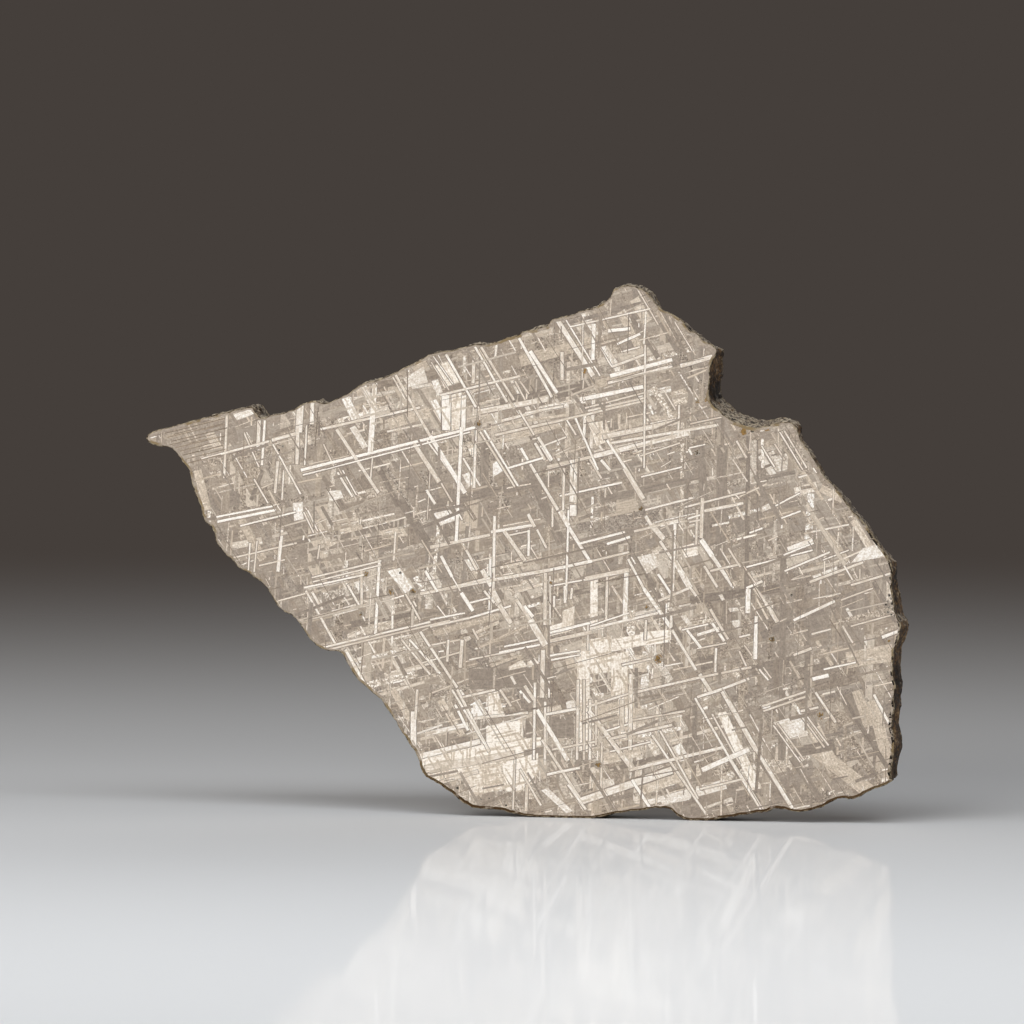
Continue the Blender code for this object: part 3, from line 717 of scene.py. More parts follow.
def cut_face(rim, bands, seed):
    """Triangles of a face, cut along its bands. rim is the outline in millimetres, anticlockwise."""
    ring = inset_ring(rim, *RIM_WIDTHS, seed)
    pieces = shown_edges(bands, ring)
    points = [Vector(p) for p in rim] + [Vector(p) for p in ring]
    first = len(rim)
    edges = [(first + i, first + (i + 1) % len(ring)) for i in range(len(ring))]
    for start, end in pieces:
        edges.append((len(points), len(points) + 1))
        points += [Vector(start), Vector(end)]
    made = delaunay_2d_cdt(points, edges, [list(range(len(rim)))], 1, MERGE)
    flat = np.array([v[:] for v in made[0]])
    triangles = np.array([f for f in made[2] if len(f) == 3])
    centroids = flat[triangles].mean(axis=1)
    owners = np.full(len(triangles), NO_BAND)
    order = np.argsort(centroids[:, 0])
    sorted_x = centroids[order, 0]
    for number, band in enumerate(bands):
        near = order[np.searchsorted(sorted_x, band["low"][0]):np.searchsorted(sorted_x, band["high"][0])]
        near = near[(centroids[near, 1] >= band["low"][1]) & (centroids[near, 1] <= band["high"][1])]
        held = np.all(centroids[near] @ band["planes"][:, :2].T <= band["planes"][:, 2], axis=1)
        owners[near[held]] = number
    owners[~inside_ring(centroids, ring)] = ON_RIM
    rim_of = {}
    for number, originals in enumerate(made[3]):
        for original in originals:
            if original < len(rim):
                rim_of[number] = original
    return flat, triangles, owners, rim_of


# %% [markdown]
# ## From the lowest bands to the topmost
#
# First come broad fields and plates of the dull alloy, then the listed bands, then fine bright needles.
# The last plates that grew cut everything, so some dull bands and dark seams run over the bright lines.
# On top lie the spots: beads of brown mineral, small pits and specks of rust.

# %% Spots
SPOTS = [
    (478, 424, 4.5, 0.50, 0.5), (366, 574, 3, 0.5, 0.5), (391, 592, 3.5, 0.55, 0.5), (413, 592, 4, 0.5, 0.5),
    (361, 614, 3, 0.5, 0.5), (598, 765, 4.5, 0.5, 0.5), (772, 639, 4.5, 0.5, 0.5), (658, 659, 5, 0.55, 0.5),
    (647, 608, 3, 0.42, 0.2), (641, 509, 3, 0.4, 0.2), (697, 453, 3.5, 0.35, 0.1), (551, 583, 2, 0.5, 0.5),
    (820, 715, 5, 0.65, 0.8), (585, 371, 3, 0.7, 1.0), (790, 519, 1.6, 0.0, 0.0), (791, 595, 1.8, 0.0, 0.0),
    (282, 446, 1.6, 0.0, 0.0), (278, 450, 1.4, 0.0, 0.0), (400, 573, 1.5, 0.1, 0.0), (743, 432, 5, 0.62, 1.0),
    (767, 429, 4, 0.66, 1.0), (683, 321, 3, 0.64, 1.0), (707, 399, 4, 0.62, 1.0), (697, 402, 2.5, 0.62, 1.0),
    (888, 595, 1.7, 0.0, 0.0), (890, 598, 1.5, 0.0, 0.0), (887, 601, 1.5, 0.0, 0.0), (891, 603, 1.9, 0.0, 0.0),
    (885, 605, 1.6, 0.0, 0.0), (888, 607, 1.5, 0.0, 0.0), (892, 609, 1.8, 0.0, 0.0), (887, 612, 1.9, 0.0, 0.0),
    (890, 614, 1.5, 0.0, 0.0), (894, 615, 1.8, 0.0, 0.0), (884, 600, 1.3, 0.0, 0.0), (457, 789, 1.8, 0.0, 0.0),
    (481, 800, 1.2, 0.0, 0.0), (506, 806, 1.2, 0.0, 0.0), (474, 803, 0.9, 0.0, 0.0), (489, 799, 0.9, 0.0, 0.0),
    (888, 641, 2.5, 0.6, 0.8), (744, 425.5, 2.5, 0.1, 0.2), (752, 431, 2, 0.1, 0.2), (427, 487, 1.6, 0.6, 0.8)]


# %% All the bands of a face, lowest first
# the darker strip beside a bright line is partly swathing kamacite and partly painted shade of its groove
MARGIN = 0.6                             # of duller metal beside a bright line, in tenths of a millimetre


def kamacite_and_groove_shade(lines, extra, shift):
    """The duller metal beside listed lines, partly swathing kamacite and partly painted shade of the etched
    grooves: the same strips, wider and longer by extra on each side.
    """
    wider = []
    for x0, y0, x1, y1, width in lines:
        length = math.hypot(x1 - x0, y1 - y0)
        dx, dy = (x1 - x0) / length * extra, (y1 - y0) / length * extra
        wider.append(strip((x0 - dx, y0 - dy, x1 + dx, y1 + dy, width + 2.0 * extra),
                           rng.uniform(0.27, 0.38), 0.3, 0.0, shift))
    return wider


def face_bands(seed, closeness, rising, falling, upright, spots):
    """All the bands of a face, lowest first. closeness spaces out the sown ones. rising, falling and
    upright are how far the listed ones of each direction are shifted, in millimetres."""
    face = face_polygon()
    aside = (rising, falling)
    bands = sow(face, seed + 10, (1.0, 0.3, 0.8, 0.8), 4.2 / closeness, (5.0, 16.0), (1.2, 3.2), 3.0,
                (0.36, 0.50), (0.58, 0.74), (0.2, 0.5), (0.0, 0.1, 0.3, 0.6))
    bands += sow(face, seed + 20, (1.0, 0.2, 0.9, 0.8), 3.0 / closeness, (2.0, 11.0), (0.35, 1.1), 3.0,
                 (0.32, 0.55), (0.64, 0.88), (0.2, 0.5), (0.0, 0.1, 0.3, 0.5, 0.9))
    bands += sow(face, seed + 30, (1.0, 0.2, 0.7, 0.6), 2.9 / closeness, (1.2, 7.0), (0.14, 0.4), 4.0,
                 (0.30, 0.66), (0.70, 0.94), (0.2, 0.5), (0.0, 0.2, 0.6))
    bands += [strip(b, rng.uniform(0.64, 0.78), 0.5, 0.35, rising) for b in PALE_BANDS]
    bands += [strip(b, rng.uniform(0.29, 0.38), 0.3, 0.05, rising) for b in DARK_BANDS]
    bands += sow(face, seed + 40, (1.0, 0.3, 1.0, 0.8), 2.6 / closeness, (0.5, 4.2), (0.10, 0.26), 3.0,
                 (0.62, 0.90), (0.78, 0.98), (0.3, 0.6), (0.0, 0.3))
    bands += sow(face, seed + 45, (1.0, 0.0, 1.0, 0.8), 3.2 / closeness, (0.2, 1.1), (0.10, 0.22), 4.0,
                 (0.70, 0.95), (0.82, 1.0), (0.3, 0.6), (0.0, 0.3))
    bands += [patch(b, rng.uniform(0.84, 0.95), 0.55, 0.25, aside) for b in CREAM_PATCHES]
    bands += [patch(b, rng.uniform(0.82, 0.94), 0.3, 0.25, aside) for b in WHITE_PATCHES]
    families = ((BRIGHT_RISING + BRIGHT_STEEPER, rising), (BRIGHT_FALLING, falling), (CREAM_LINES, upright))
    for family, shift in families:
        # darker margins under the lines: partly swathing kamacite, partly painted shade of the etched grooves
        bands += kamacite_and_groove_shade(family, MARGIN, shift)
    lines = [strip(b, rng.uniform(0.82, 0.98), 0.4, 0.0, shift) for family, shift in families for b in family]
    rng.shuffle(lines)
    bands += lines
    bands += sow(face, seed + 50, (1.0, 0.2, 1.0, 0.8), 7.0 / closeness, (1.5, 8.0), (0.14, 0.45), 2.0,
                 (0.31, 0.44), (0.60, 0.80), (0.2, 0.4), (0.0, 0.2))
    bands += sow(face, seed + 60, (0.8, 0.1, 1.0, 0.7), 5.6 / closeness, (1.0, 7.0), (0.05, 0.11), 2.5,
                 (0.24, 0.33), (0.24, 0.33), (0.3, 0.6), (0.0,))
    bands += [strip(b, rng.uniform(0.22, 0.32), 1.0, 0.0, rising) for b in HORN_HATCH]
    bands += [disc(*spot) for spot in spots]
    return bands


front = face_bands(0, 1.12, 0.0, 0.0, 0.0, SPOTS)
back = face_bands(100, 0.48, 1.5, -2.2, 1.0, [])
print("bands on the etched face:", len(front), "and on the back:", len(back))

# %% [markdown]
# ## One closed mesh
#
# The wall's open rims give the two faces their outlines, point for point, so the faces join it without
# a gap. The back is the far side of the same plates, a few millimetres deeper, so it shows the same
# directions with the bands shifted, each set its own way, and other needles.

# %% The wall's rims
def rim_loop(bm, side):
    """The wall's open rim at one sawn face, as its points in order."""
    edges = [e for e in bm.edges if e.is_boundary and e.verts[0].co.y * side > 0.0]
    start = edges[0].verts[0]
    loop, edge = [start], edges[0]
    while True:
        vert = edge.other_vert(loop[-1])
        if vert is start:
            return loop
        loop.append(vert)
        edge = next(e for e in vert.link_edges if e.is_boundary and e is not edge)


def anticlockwise(loop):
    """The loop, turned if needed so that it runs anticlockwise with x to the right and z up."""
    area = sum(a.co.x * b.co.z - b.co.x * a.co.z for a, b in zip(loop, loop[1:] + loop[:1]))
    return loop if area > 0.0 else loop[::-1]


# %% Fill the rims
PLAIN_LOOK = (0.44, 0.35, 0.25, 0.5)     # of the metal where no band lies
PLAIN_AXIS = (0.0, 0.0, math.radians(DIRECTIONS[0]), 90.0)


def fill(bm, side, bands, seed, layers):
    """Closes one rim of the wall with a face cut along its bands."""
    loop = anticlockwise(rim_loop(bm, side))
    rim = np.array([(v.co.x, v.co.z) for v in loop]) / MM
    flat, triangles, owners, rim_of = cut_face(rim, bands, seed)
    y = side * THICKNESS / 2.0
    verts = [loop[rim_of[i]] if i in rim_of else bm.verts.new((p[0] * MM, y, p[1] * MM))
             for i, p in enumerate(flat)]
    look, axis, kind, sheen_crowd = layers
    for corners, owner in zip(triangles.tolist(), owners):
        order = corners if side < 0.0 else corners[::-1]
        made = bm.faces.new([verts[i] for i in order])
        made.material_index = 0
        made.smooth = False
        if owner >= 0:
            made[look] = bands[owner]["look"]
            made[axis] = bands[owner]["axis"]
            made[kind] = bands[owner]["kind"]
            made[sheen_crowd] = bands[owner]["sheen_crowd"]
        else:
            made[look], made[axis] = PLAIN_LOOK, PLAIN_AXIS
            made[kind] = RIM if owner == ON_RIM else BAND
    for vert, after in zip(loop, loop[1:] + loop[:1]):
        bm.edges.get((vert, after)).smooth = False
    return len(triangles)


# %% The dressed slab
bm = bmesh.new()
bm.from_mesh(wall)
layers = (bm.faces.layers.float_color.new("look"), bm.faces.layers.float_color.new("axis"),
          bm.faces.layers.float.new("kind"), bm.faces.layers.float.new("sheen_crowd"))
for f in bm.faces:
    f.smooth = True
    f.material_index = 1
print("front:", fill(bm, -1.0, front, 3, layers), "triangles")
print("back:", fill(bm, 1.0, back, 4, layers), "triangles")
open_edges = sum(1 for e in bm.edges if not e.is_manifold)
mesh = bpy.data.meshes.new("meteorite_slice_dressed")
mesh.materials.append(etched)
mesh.materials.append(crust)
bm.to_mesh(mesh)
bm.free()
slice_piece = bpy.data.objects.new("meteorite_slice_dressed", mesh)
bpy.context.scene.collection.objects.link(slice_piece)
triangle_count = sum(len(p.vertices) - 2 for p in mesh.polygons)
print("slice:", triangle_count, "triangles,", open_edges, "open edges")

# %% [markdown]
# ## Etched nickel-iron
#
# Acid bites the two alloys unequally. Nickel-rich taenite stays bright and stands a few microns proud.
# Kamacite turns a duller grey with a fine grain along its plate, and between the plates the mixed
# plessite looks speckled. The edges of the bright lines are a little ragged. To the eye it is a soft,
# half-matt metal, whose bands differ more in brightness than in colour.
#
# One pattern for the whole face would run straight on through the bands. So every triangle carries its
# band's tone, tint, speckle and axis, and the shader draws each band's grain from those. The real grain
# and speckle are far too fine to show, so they are drawn as coarse as they need to be: about 0.15 mm.

# %% What each triangle carries, and where it lies in its band
etched.use_nodes = True
tree = etched.node_tree
shader = tree.nodes["Principled BSDF"]
place = add(tree, "ShaderNodeTexCoord").outputs["Object"]
mm = add(tree, "ShaderNodeVectorMath", {0: place, "Scale": 1.0 / MM}, operation="SCALE")
look = add(tree, "ShaderNodeAttribute", attribute_name="look")
axis = add(tree, "ShaderNodeAttribute", attribute_name="axis")
kind = add(tree, "ShaderNodeAttribute", attribute_name="kind").outputs["Fac"]
parts = add(tree, "ShaderNodeSeparateColor", {0: look.outputs["Color"]})
tone, warm, speckle, seed = parts.outputs[0], parts.outputs[1], parts.outputs[2], look.outputs["Alpha"]
lies = add(tree, "ShaderNodeSeparateColor", {0: axis.outputs["Color"]})
centre = add(tree, "ShaderNodeCombineXYZ", {"X": lies.outputs[0], "Z": lies.outputs[1]})
offset = add(tree, "ShaderNodeVectorMath", {0: mm, 1: centre}, operation="SUBTRACT")
cosine = add(tree, "ShaderNodeMath", {0: lies.outputs[2]}, operation="COSINE")
sine = add(tree, "ShaderNodeMath", {0: lies.outputs[2]}, operation="SINE")
minus = add(tree, "ShaderNodeMath", {0: sine, 1: -1.0}, operation="MULTIPLY")
line = add(tree, "ShaderNodeCombineXYZ", {"X": cosine, "Z": sine})
across = add(tree, "ShaderNodeCombineXYZ", {"X": minus, "Z": cosine})
u = add(tree, "ShaderNodeVectorMath", {0: offset, 1: line}, operation="DOT_PRODUCT").outputs["Value"]
v = add(tree, "ShaderNodeVectorMath", {0: offset, 1: across}, operation="DOT_PRODUCT").outputs["Value"]

# %% Grain along the plate, fine etch and speckle
# the grain is stretched noise, with the band's own number as a third coordinate
slow = add(tree, "ShaderNodeMath", {0: u, 1: 0.9}, operation="MULTIPLY")
quick = add(tree, "ShaderNodeMath", {0: v, 1: 7.0}, operation="MULTIPLY")
own = add(tree, "ShaderNodeMath", {0: seed, 1: 61.0}, operation="MULTIPLY")
stretched = add(tree, "ShaderNodeCombineXYZ", {"X": slow, "Y": quick, "Z": own})
grain = add(tree, "ShaderNodeTexNoise", {"Vector": stretched, "Scale": 1.0, "Detail": 2.0})
fine = add(tree, "ShaderNodeTexNoise", {"Vector": mm, "Scale": 6.0, "Detail": 3.0})
cells = add(tree, "ShaderNodeTexVoronoi", {"Vector": mm, "Scale": 7.5})
dots = add(tree, "ShaderNodeSeparateColor", {0: cells.outputs["Color"]})

# %% Ragged edges
# near its edge a bright band gives way to the dull metal beside it
off_line = add(tree, "ShaderNodeMath", {0: v}, operation="ABSOLUTE")
inside = add(tree, "ShaderNodeMath", {0: axis.outputs["Alpha"], 1: off_line}, operation="SUBTRACT")
bite = add(tree, "ShaderNodeMapRange", {"Value": fine, "From Min": 0.35, "From Max": 0.7,
                                        "To Min": -0.01, "To Max": 0.055})
kept = add(tree, "ShaderNodeMath", {0: inside, 1: bite}, operation="SUBTRACT")
keep = add(tree, "ShaderNodeMapRange", {"Value": kept, "From Min": -0.01, "From Max": 0.025},
           interpolation_type="SMOOTHSTEP")
is_bright = add(tree, "ShaderNodeMapRange", {"Value": tone, "From Min": 0.55, "From Max": 0.75})
lost = add(tree, "ShaderNodeMath", {0: 1.0, 1: keep}, operation="SUBTRACT")
faded = add(tree, "ShaderNodeMath", {0: lost, 1: is_bright}, operation="MULTIPLY")
body = add(tree, "ShaderNodeMix", {0: faded, 2: tone, 3: 0.38}, data_type="FLOAT")

# %% Needles too fine to cut as bands
def needles(tree, mm, lean, along, across, share, start):
    """Fine parallel needles, as a value from 0 to 1: one or none in each cell of a stretched pattern."""
    run = (math.cos(math.radians(lean)) / along, 0.0, math.sin(math.radians(lean)) / along)
    side = (-math.sin(math.radians(lean)) / across, 0.0, math.cos(math.radians(lean)) / across)
    u = add(tree, "ShaderNodeVectorMath", {0: mm, 1: run}, operation="DOT_PRODUCT").outputs["Value"]
    v = add(tree, "ShaderNodeVectorMath", {0: mm, 1: side}, operation="DOT_PRODUCT").outputs["Value"]
    u = add(tree, "ShaderNodeMath", {0: u, 1: start}, operation="ADD")
    place = add(tree, "ShaderNodeCombineXYZ", {"X": u, "Y": v})
    cells = add(tree, "ShaderNodeTexVoronoi", {"Vector": place, "Scale": 1.0}, voronoi_dimensions="2D")
    apart = add(tree, "ShaderNodeVectorMath", {0: place, 1: cells.outputs["Position"]}, operation="SUBTRACT")
    apart = add(tree, "ShaderNodeVectorMath", {0: apart}, operation="ABSOLUTE")
    apart = add(tree, "ShaderNodeSeparateXYZ", {0: apart})
    draws = add(tree, "ShaderNodeSeparateColor", {0: cells.outputs["Color"]})
    half = add(tree, "ShaderNodeMapRange", {"Value": draws.outputs[1], "To Min": 0.12, "To Max": 0.30})
    room = add(tree, "ShaderNodeMath", {0: half, 1: apart.outputs["Y"]}, operation="SUBTRACT")
    thin = add(tree, "ShaderNodeMapRange", {"Value": room, "From Min": -0.04, "From Max": 0.04})
    short = add(tree, "ShaderNodeMapRange", {"Value": apart.outputs["X"], "From Min": 0.48, "From Max": 0.44})
    picked = add(tree, "ShaderNodeMath", {0: draws.outputs[0], 1: share}, operation="LESS_THAN")
    shape = add(tree, "ShaderNodeMath", {0: thin, 1: short}, operation="MULTIPLY")
    return add(tree, "ShaderNodeMath", {0: shape, 1: picked}, operation="MULTIPLY")


# light ones on dull fields, and dull ones on light fields
found = None
for lean, along, across, share, start in ((DIRECTIONS[0], 2.8, 0.50, 0.36, 0.0),
                                          (DIRECTIONS[2], 2.4, 0.46, 0.32, 9.0),
                                          (DIRECTIONS[3], 1.8, 0.42, 0.28, 21.0)):
    more = needles(tree, mm, lean, along, across, share, start)
    found = add(tree, "ShaderNodeMath", {0: found, 1: more}, operation="MAXIMUM") if found else more
# more needles show where more of the bands are painted bright with sheen
sheen_crowd = add(tree, "ShaderNodeAttribute", attribute_name="sheen_crowd").outputs["Fac"]
crowded = add(tree, "ShaderNodeMapRange", {"Value": sheen_crowd, "From Min": LEAST_SHEEN, "From Max": 0.45,
                                           "To Min": 0.04, "To Max": 0.85})
wide = add(tree, "ShaderNodeMapRange", {"Value": axis.outputs["Alpha"], "From Min": 0.10, "From Max": 0.28})
weight = add(tree, "ShaderNodeMath", {0: crowded, 1: wide}, operation="MULTIPLY")
shown = add(tree, "ShaderNodeMath", {0: found, 1: weight}, operation="MULTIPLY")
other = add(tree, "ShaderNodeMapRange", {"Value": tone, "From Min": 0.52, "From Max": 0.64,
                                         "To Min": 0.80, "To Max": 0.68})
body = add(tree, "ShaderNodeMix", {0: shown, 2: body, 3: other}, data_type="FLOAT")

# %% From tone to the metal's colour
# the tone is the band's own, with its grain, the fine etch and the speckle of plessite
grain_off = add(tree, "ShaderNodeMath", {0: grain, 1: 0.5}, operation="SUBTRACT")
grain_depth = add(tree, "ShaderNodeMapRange", {"Value": warm, "To Min": 0.22, "To Max": 0.52})
with_grain = add(tree, "ShaderNodeMath", {0: grain_off, 1: grain_depth, 2: body}, operation="MULTIPLY_ADD")
fine_off = add(tree, "ShaderNodeMath", {0: fine, 1: 0.5}, operation="SUBTRACT")
with_fine = add(tree, "ShaderNodeMath", {0: fine_off, 1: 0.38, 2: with_grain}, operation="MULTIPLY_ADD")
dot_off = add(tree, "ShaderNodeMath", {0: dots, 1: 0.40}, operation="SUBTRACT")
dotted = add(tree, "ShaderNodeMath", {0: dot_off, 1: speckle}, operation="MULTIPLY")
final = add(tree, "ShaderNodeMath", {0: dotted, 1: 0.58, 2: with_fine}, operation="MULTIPLY_ADD")
ramp = add(tree, "ShaderNodeValToRGB", {0: final})
for position, code in ((0.0, "#5e574f"), (0.3, "#968c83"), (0.45, "#a89e94"), (0.62, "#beb4a8"),
                       (0.8, "#dad1c6"), (1.0, "#ece5dc")):
    stop = ramp.color_ramp.elements.new(position)
    stop.color = colour(code)
ramp.color_ramp.elements.remove(ramp.color_ramp.elements[0])
ramp.color_ramp.elements.remove(ramp.color_ramp.elements[-1])
tint = add(tree, "ShaderNodeMix", {0: warm, 6: colour("#ffffff"), 7: colour("#fff3e2")}, data_type="RGBA")
metal = add(tree, "ShaderNodeMix", {0: 1.0, 6: ramp, 7: tint.outputs[2]}, data_type="RGBA",
            blend_type="MULTIPLY")

# %% [markdown]
# ## Beads, pits and a tarnished rim
#
# Beads of iron sulphide, cut through, show as brown spots in the metal. Small pits and specks of rust
# lie between them, and at the slab's outer edge the polish tails off into rust. Each spot is a disc
# cut in the mesh, but a clean circle would look drilled, so the shader gives it an uneven edge.

# %% Spots with an uneven edge
far = add(tree, "ShaderNodeVectorMath", {0: offset, 1: (1.0, 0.0, 1.0)}, operation="MULTIPLY")
reach = add(tree, "ShaderNodeVectorMath", {0: far}, operation="LENGTH").outputs["Value"]
uneven = add(tree, "ShaderNodeMath", {0: axis.outputs["Alpha"], 1: 1.6, 2: 0.6}, operation="MULTIPLY_ADD")
wobble = add(tree, "ShaderNodeMath", {0: fine_off, 1: uneven}, operation="MULTIPLY")
share = add(tree, "ShaderNodeMath", {0: axis.outputs["Alpha"], 1: -0.4, 2: 0.8}, operation="MULTIPLY_ADD")
edge = add(tree, "ShaderNodeMath", {0: axis.outputs["Alpha"], 1: share}, operation="MULTIPLY")
room = add(tree, "ShaderNodeMath", {0: edge, 1: reach}, operation="SUBTRACT")
rough_room = add(tree, "ShaderNodeMath", {0: room, 1: wobble}, operation="ADD")
spot_here = add(tree, "ShaderNodeMapRange", {"Value": rough_room, "From Min": -0.06, "From Max": 0.12},
                interpolation_type="SMOOTHSTEP")
is_spot = add(tree, "ShaderNodeMath", {0: kind, 1: SPOT, 2: 0.3}, operation="COMPARE")
spot_share = add(tree, "ShaderNodeMath", {0: spot_here, 1: is_spot}, operation="MULTIPLY")
paler = add(tree, "ShaderNodeMath", {0: final, 1: 0.1}, operation="SUBTRACT")
mottled = add(tree, "ShaderNodeMath", {0: fine_off, 1: 1.5, 2: paler}, operation="MULTIPLY_ADD")
mineral = add(tree, "ShaderNodeValToRGB", {0: mottled})
for position, code in ((0.05, "#15110c"), (0.4, "#503d20"), (0.6, "#85662e"), (0.95, "#a07634")):
    stop = mineral.color_ramp.elements.new(position)
    stop.color = colour(code)
mineral.color_ramp.elements.remove(mineral.color_ramp.elements[0])
mineral.color_ramp.elements.remove(mineral.color_ramp.elements[-1])
plain = add(tree, "ShaderNodeMix", {0: is_spot, 6: metal.outputs[2], 7: colour("#aba195")},
            data_type="RGBA")
spotted = add(tree, "ShaderNodeMix", {0: spot_share, 6: plain.outputs[2], 7: mineral}, data_type="RGBA")

# %% The rim, where the polish tails off into rust
is_rim = add(tree, "ShaderNodeMath", {0: kind, 1: RIM, 2: 0.3}, operation="COMPARE")
patches = add(tree, "ShaderNodeTexNoise", {"Vector": mm, "Scale": 0.8, "Detail": 3.0})
split = add(tree, "ShaderNodeSeparateXYZ", {"Vector": mm})
low = add(tree, "ShaderNodeMapRange", {"Value": split.outputs["Z"], "From Min": 9.0, "From Max": 2.0})
soaked = add(tree, "ShaderNodeMath", {0: low, 1: 0.25, 2: patches}, operation="MULTIPLY_ADD")
tarnish = add(tree, "ShaderNodeMapRange", {"Value": soaked, "From Min": 0.5, "From Max": 0.62})
rusty = add(tree, "ShaderNodeMath", {0: tarnish, 1: is_rim}, operation="MULTIPLY")
rust = add(tree, "ShaderNodeMix", {0: low, 6: colour("#8f7d5f"), 7: colour("#4a3620")}, data_type="RGBA")
coated = add(tree, "ShaderNodeMix", {0: rusty, 6: spotted.outputs[2], 7: rust.outputs[2]}, data_type="RGBA")
# and at the slab's right end, where bits of it are burnt as dark as the edge
chips = add(tree, "ShaderNodeTexNoise", {"Vector": mm, "Scale": 2.4, "Detail": 3.0})
burnt = add(tree, "ShaderNodeMapRange", {"Value": chips, "From Min": 0.50, "From Max": 0.56})
right = add(tree, "ShaderNodeMapRange", {"Value": split.outputs["X"], "From Min": 33.5, "From Max": 35.5})
high = add(tree, "ShaderNodeMapRange", {"Value": split.outputs["Z"], "From Min": 3.0, "From Max": 5.0})
burnt = add(tree, "ShaderNodeMath", {0: burnt, 1: right}, operation="MULTIPLY")
burnt = add(tree, "ShaderNodeMath", {0: burnt, 1: high}, operation="MULTIPLY")
burnt = add(tree, "ShaderNodeMath", {0: burnt, 1: is_rim}, operation="MULTIPLY")
coated = add(tree, "ShaderNodeMix", {0: burnt, 6: coated.outputs[2], 7: colour("#231b14")},
             data_type="RGBA")
tree.links.new(coated.outputs[2], shader.inputs["Base Color"])

# %% Gloss and relief of the etched face
bare = add(tree, "ShaderNodeMath", {0: 1.0, 1: spot_share}, operation="SUBTRACT")
metallic = add(tree, "ShaderNodeMath", {0: bare, 1: 0.85}, operation="MULTIPLY")
tree.links.new(metallic.outputs[0], shader.inputs["Metallic"])
roughness = add(tree, "ShaderNodeMapRange", {"Value": final, "From Min": 0.2, "From Max": 1.0,
                                             "To Min": 0.56, "To Max": 0.40})
tree.links.new(roughness.outputs[0], shader.inputs["Roughness"])
relief = add(tree, "ShaderNodeBump", {"Strength": 0.35, "Distance": 0.03 * MM, "Height": final})
tree.links.new(relief.outputs[0], shader.inputs["Normal"])
print("etched nickel-iron:", len(tree.nodes), "nodes")

# %% [markdown]
# ## The weathered crust
#
# The natural edge is iron oxide: nearly black where it is burnt, brown and rusty where water stood, and
# tan on the ridges. Right at the sawn corners the metal shows through in a pale line. To the eye it is
# rough and earthy, and only that line shines. Its colours come from two noises, of about 3 mm for the
# stains and half a millimetre for the flakes, because real stains run on over many flakes. Where the
# edge faces up it is painted paler, partly dust and partly painted light from above. The dust is finer
# than the render can show, so its grains are drawn about 0.2 mm wide.

# %% Burnt and rusted skin
crust.use_nodes = True
tree = crust.node_tree
shader = tree.nodes["Principled BSDF"]
place = add(tree, "ShaderNodeTexCoord").outputs["Object"]
mm = add(tree, "ShaderNodeVectorMath", {0: place, "Scale": 1.0 / MM}, operation="SCALE")
broad = add(tree, "ShaderNodeTexNoise", {"Vector": mm, "Scale": 0.35, "Detail": 4.0, "Roughness": 0.6})
small = add(tree, "ShaderNodeTexNoise", {"Vector": mm, "Scale": 2.2, "Detail": 4.0, "Roughness": 0.65})
pits = add(tree, "ShaderNodeTexVoronoi", {"Vector": mm, "Scale": 2.6})
softer = add(tree, "ShaderNodeMath", {0: small, 1: 0.7}, operation="MULTIPLY")
summed = add(tree, "ShaderNodeMath", {0: broad, 1: 0.5, 2: softer}, operation="MULTIPLY_ADD")
ramp = add(tree, "ShaderNodeValToRGB", {0: summed})
for position, code in ((0.42, "#16110d"), (0.53, "#2a1f16"), (0.60, "#453423"), (0.68, "#745737"),
                       (0.78, "#a28a66")):
    stop = ramp.color_ramp.elements.new(position)
    stop.color = colour(code)
ramp.color_ramp.elements.remove(ramp.color_ramp.elements[0])
ramp.color_ramp.elements.remove(ramp.color_ramp.elements[-1])

# %% Dust and bare grains where it faces up, with painted light from above
facing = add(tree, "ShaderNodeTexCoord").outputs["Normal"]
upward = add(tree, "ShaderNodeSeparateXYZ", {"Vector": facing})
# where the edge faces up its colour is painted paler: partly dust, partly painted light from above
faces_up_dust_and_light = add(tree, "ShaderNodeMapRange", {"Value": upward.outputs["Z"], "From Min": 0.25, "From Max": 0.70,
                                         "To Max": 0.9})
specks = add(tree, "ShaderNodeTexVoronoi", {"Vector": mm, "Scale": 4.5})
grains = add(tree, "ShaderNodeSeparateColor", {0: specks.outputs["Color"]})
grain_mix = add(tree, "ShaderNodeMath", {0: grains, 1: 0.35, 2: small}, operation="MULTIPLY_ADD")
dust_and_top_light = add(tree, "ShaderNodeValToRGB", {0: grain_mix})
for position, code in ((0.50, "#2a231c"), (0.62, "#77695a"), (0.74, "#a89b86"), (0.88, "#c8bca8")):
    stop = dust_and_top_light.color_ramp.elements.new(position)
    stop.color = colour(code)
dust_and_top_light.color_ramp.elements.remove(dust_and_top_light.color_ramp.elements[0])
dust_and_top_light.color_ramp.elements.remove(dust_and_top_light.color_ramp.elements[-1])
# the skin, with the painted top light mixed in where it faces up
skin = add(tree, "ShaderNodeMix", {0: faces_up_dust_and_light, 6: ramp, 7: dust_and_top_light}, data_type="RGBA")

# %% The pale line at the sawn corners
split = add(tree, "ShaderNodeSeparateXYZ", {"Vector": mm})
off_middle = add(tree, "ShaderNodeMath", {0: split.outputs["Y"]}, operation="ABSOLUTE")
wander = add(tree, "ShaderNodeMath", {0: small, 1: 0.55, 2: off_middle}, operation="MULTIPLY_ADD")
corner = add(tree, "ShaderNodeMapRange", {
    "Value": wander, "From Min": THICKNESS / MM / 2.0 + 0.02, "From Max": THICKNESS / MM / 2.0 + 0.26},
    interpolation_type="SMOOTHSTEP")
bare = add(tree, "ShaderNodeMapRange", {"Value": small, "From Min": 0.42, "From Max": 0.60})
pale = add(tree, "ShaderNodeMix", {0: bare, 6: colour("#4c3a24"), 7: colour("#bcae93")}, data_type="RGBA")
colours = add(tree, "ShaderNodeMix", {0: corner, 6: skin.outputs[2], 7: pale.outputs[2]}, data_type="RGBA")
tree.links.new(colours.outputs[2], shader.inputs["Base Color"])

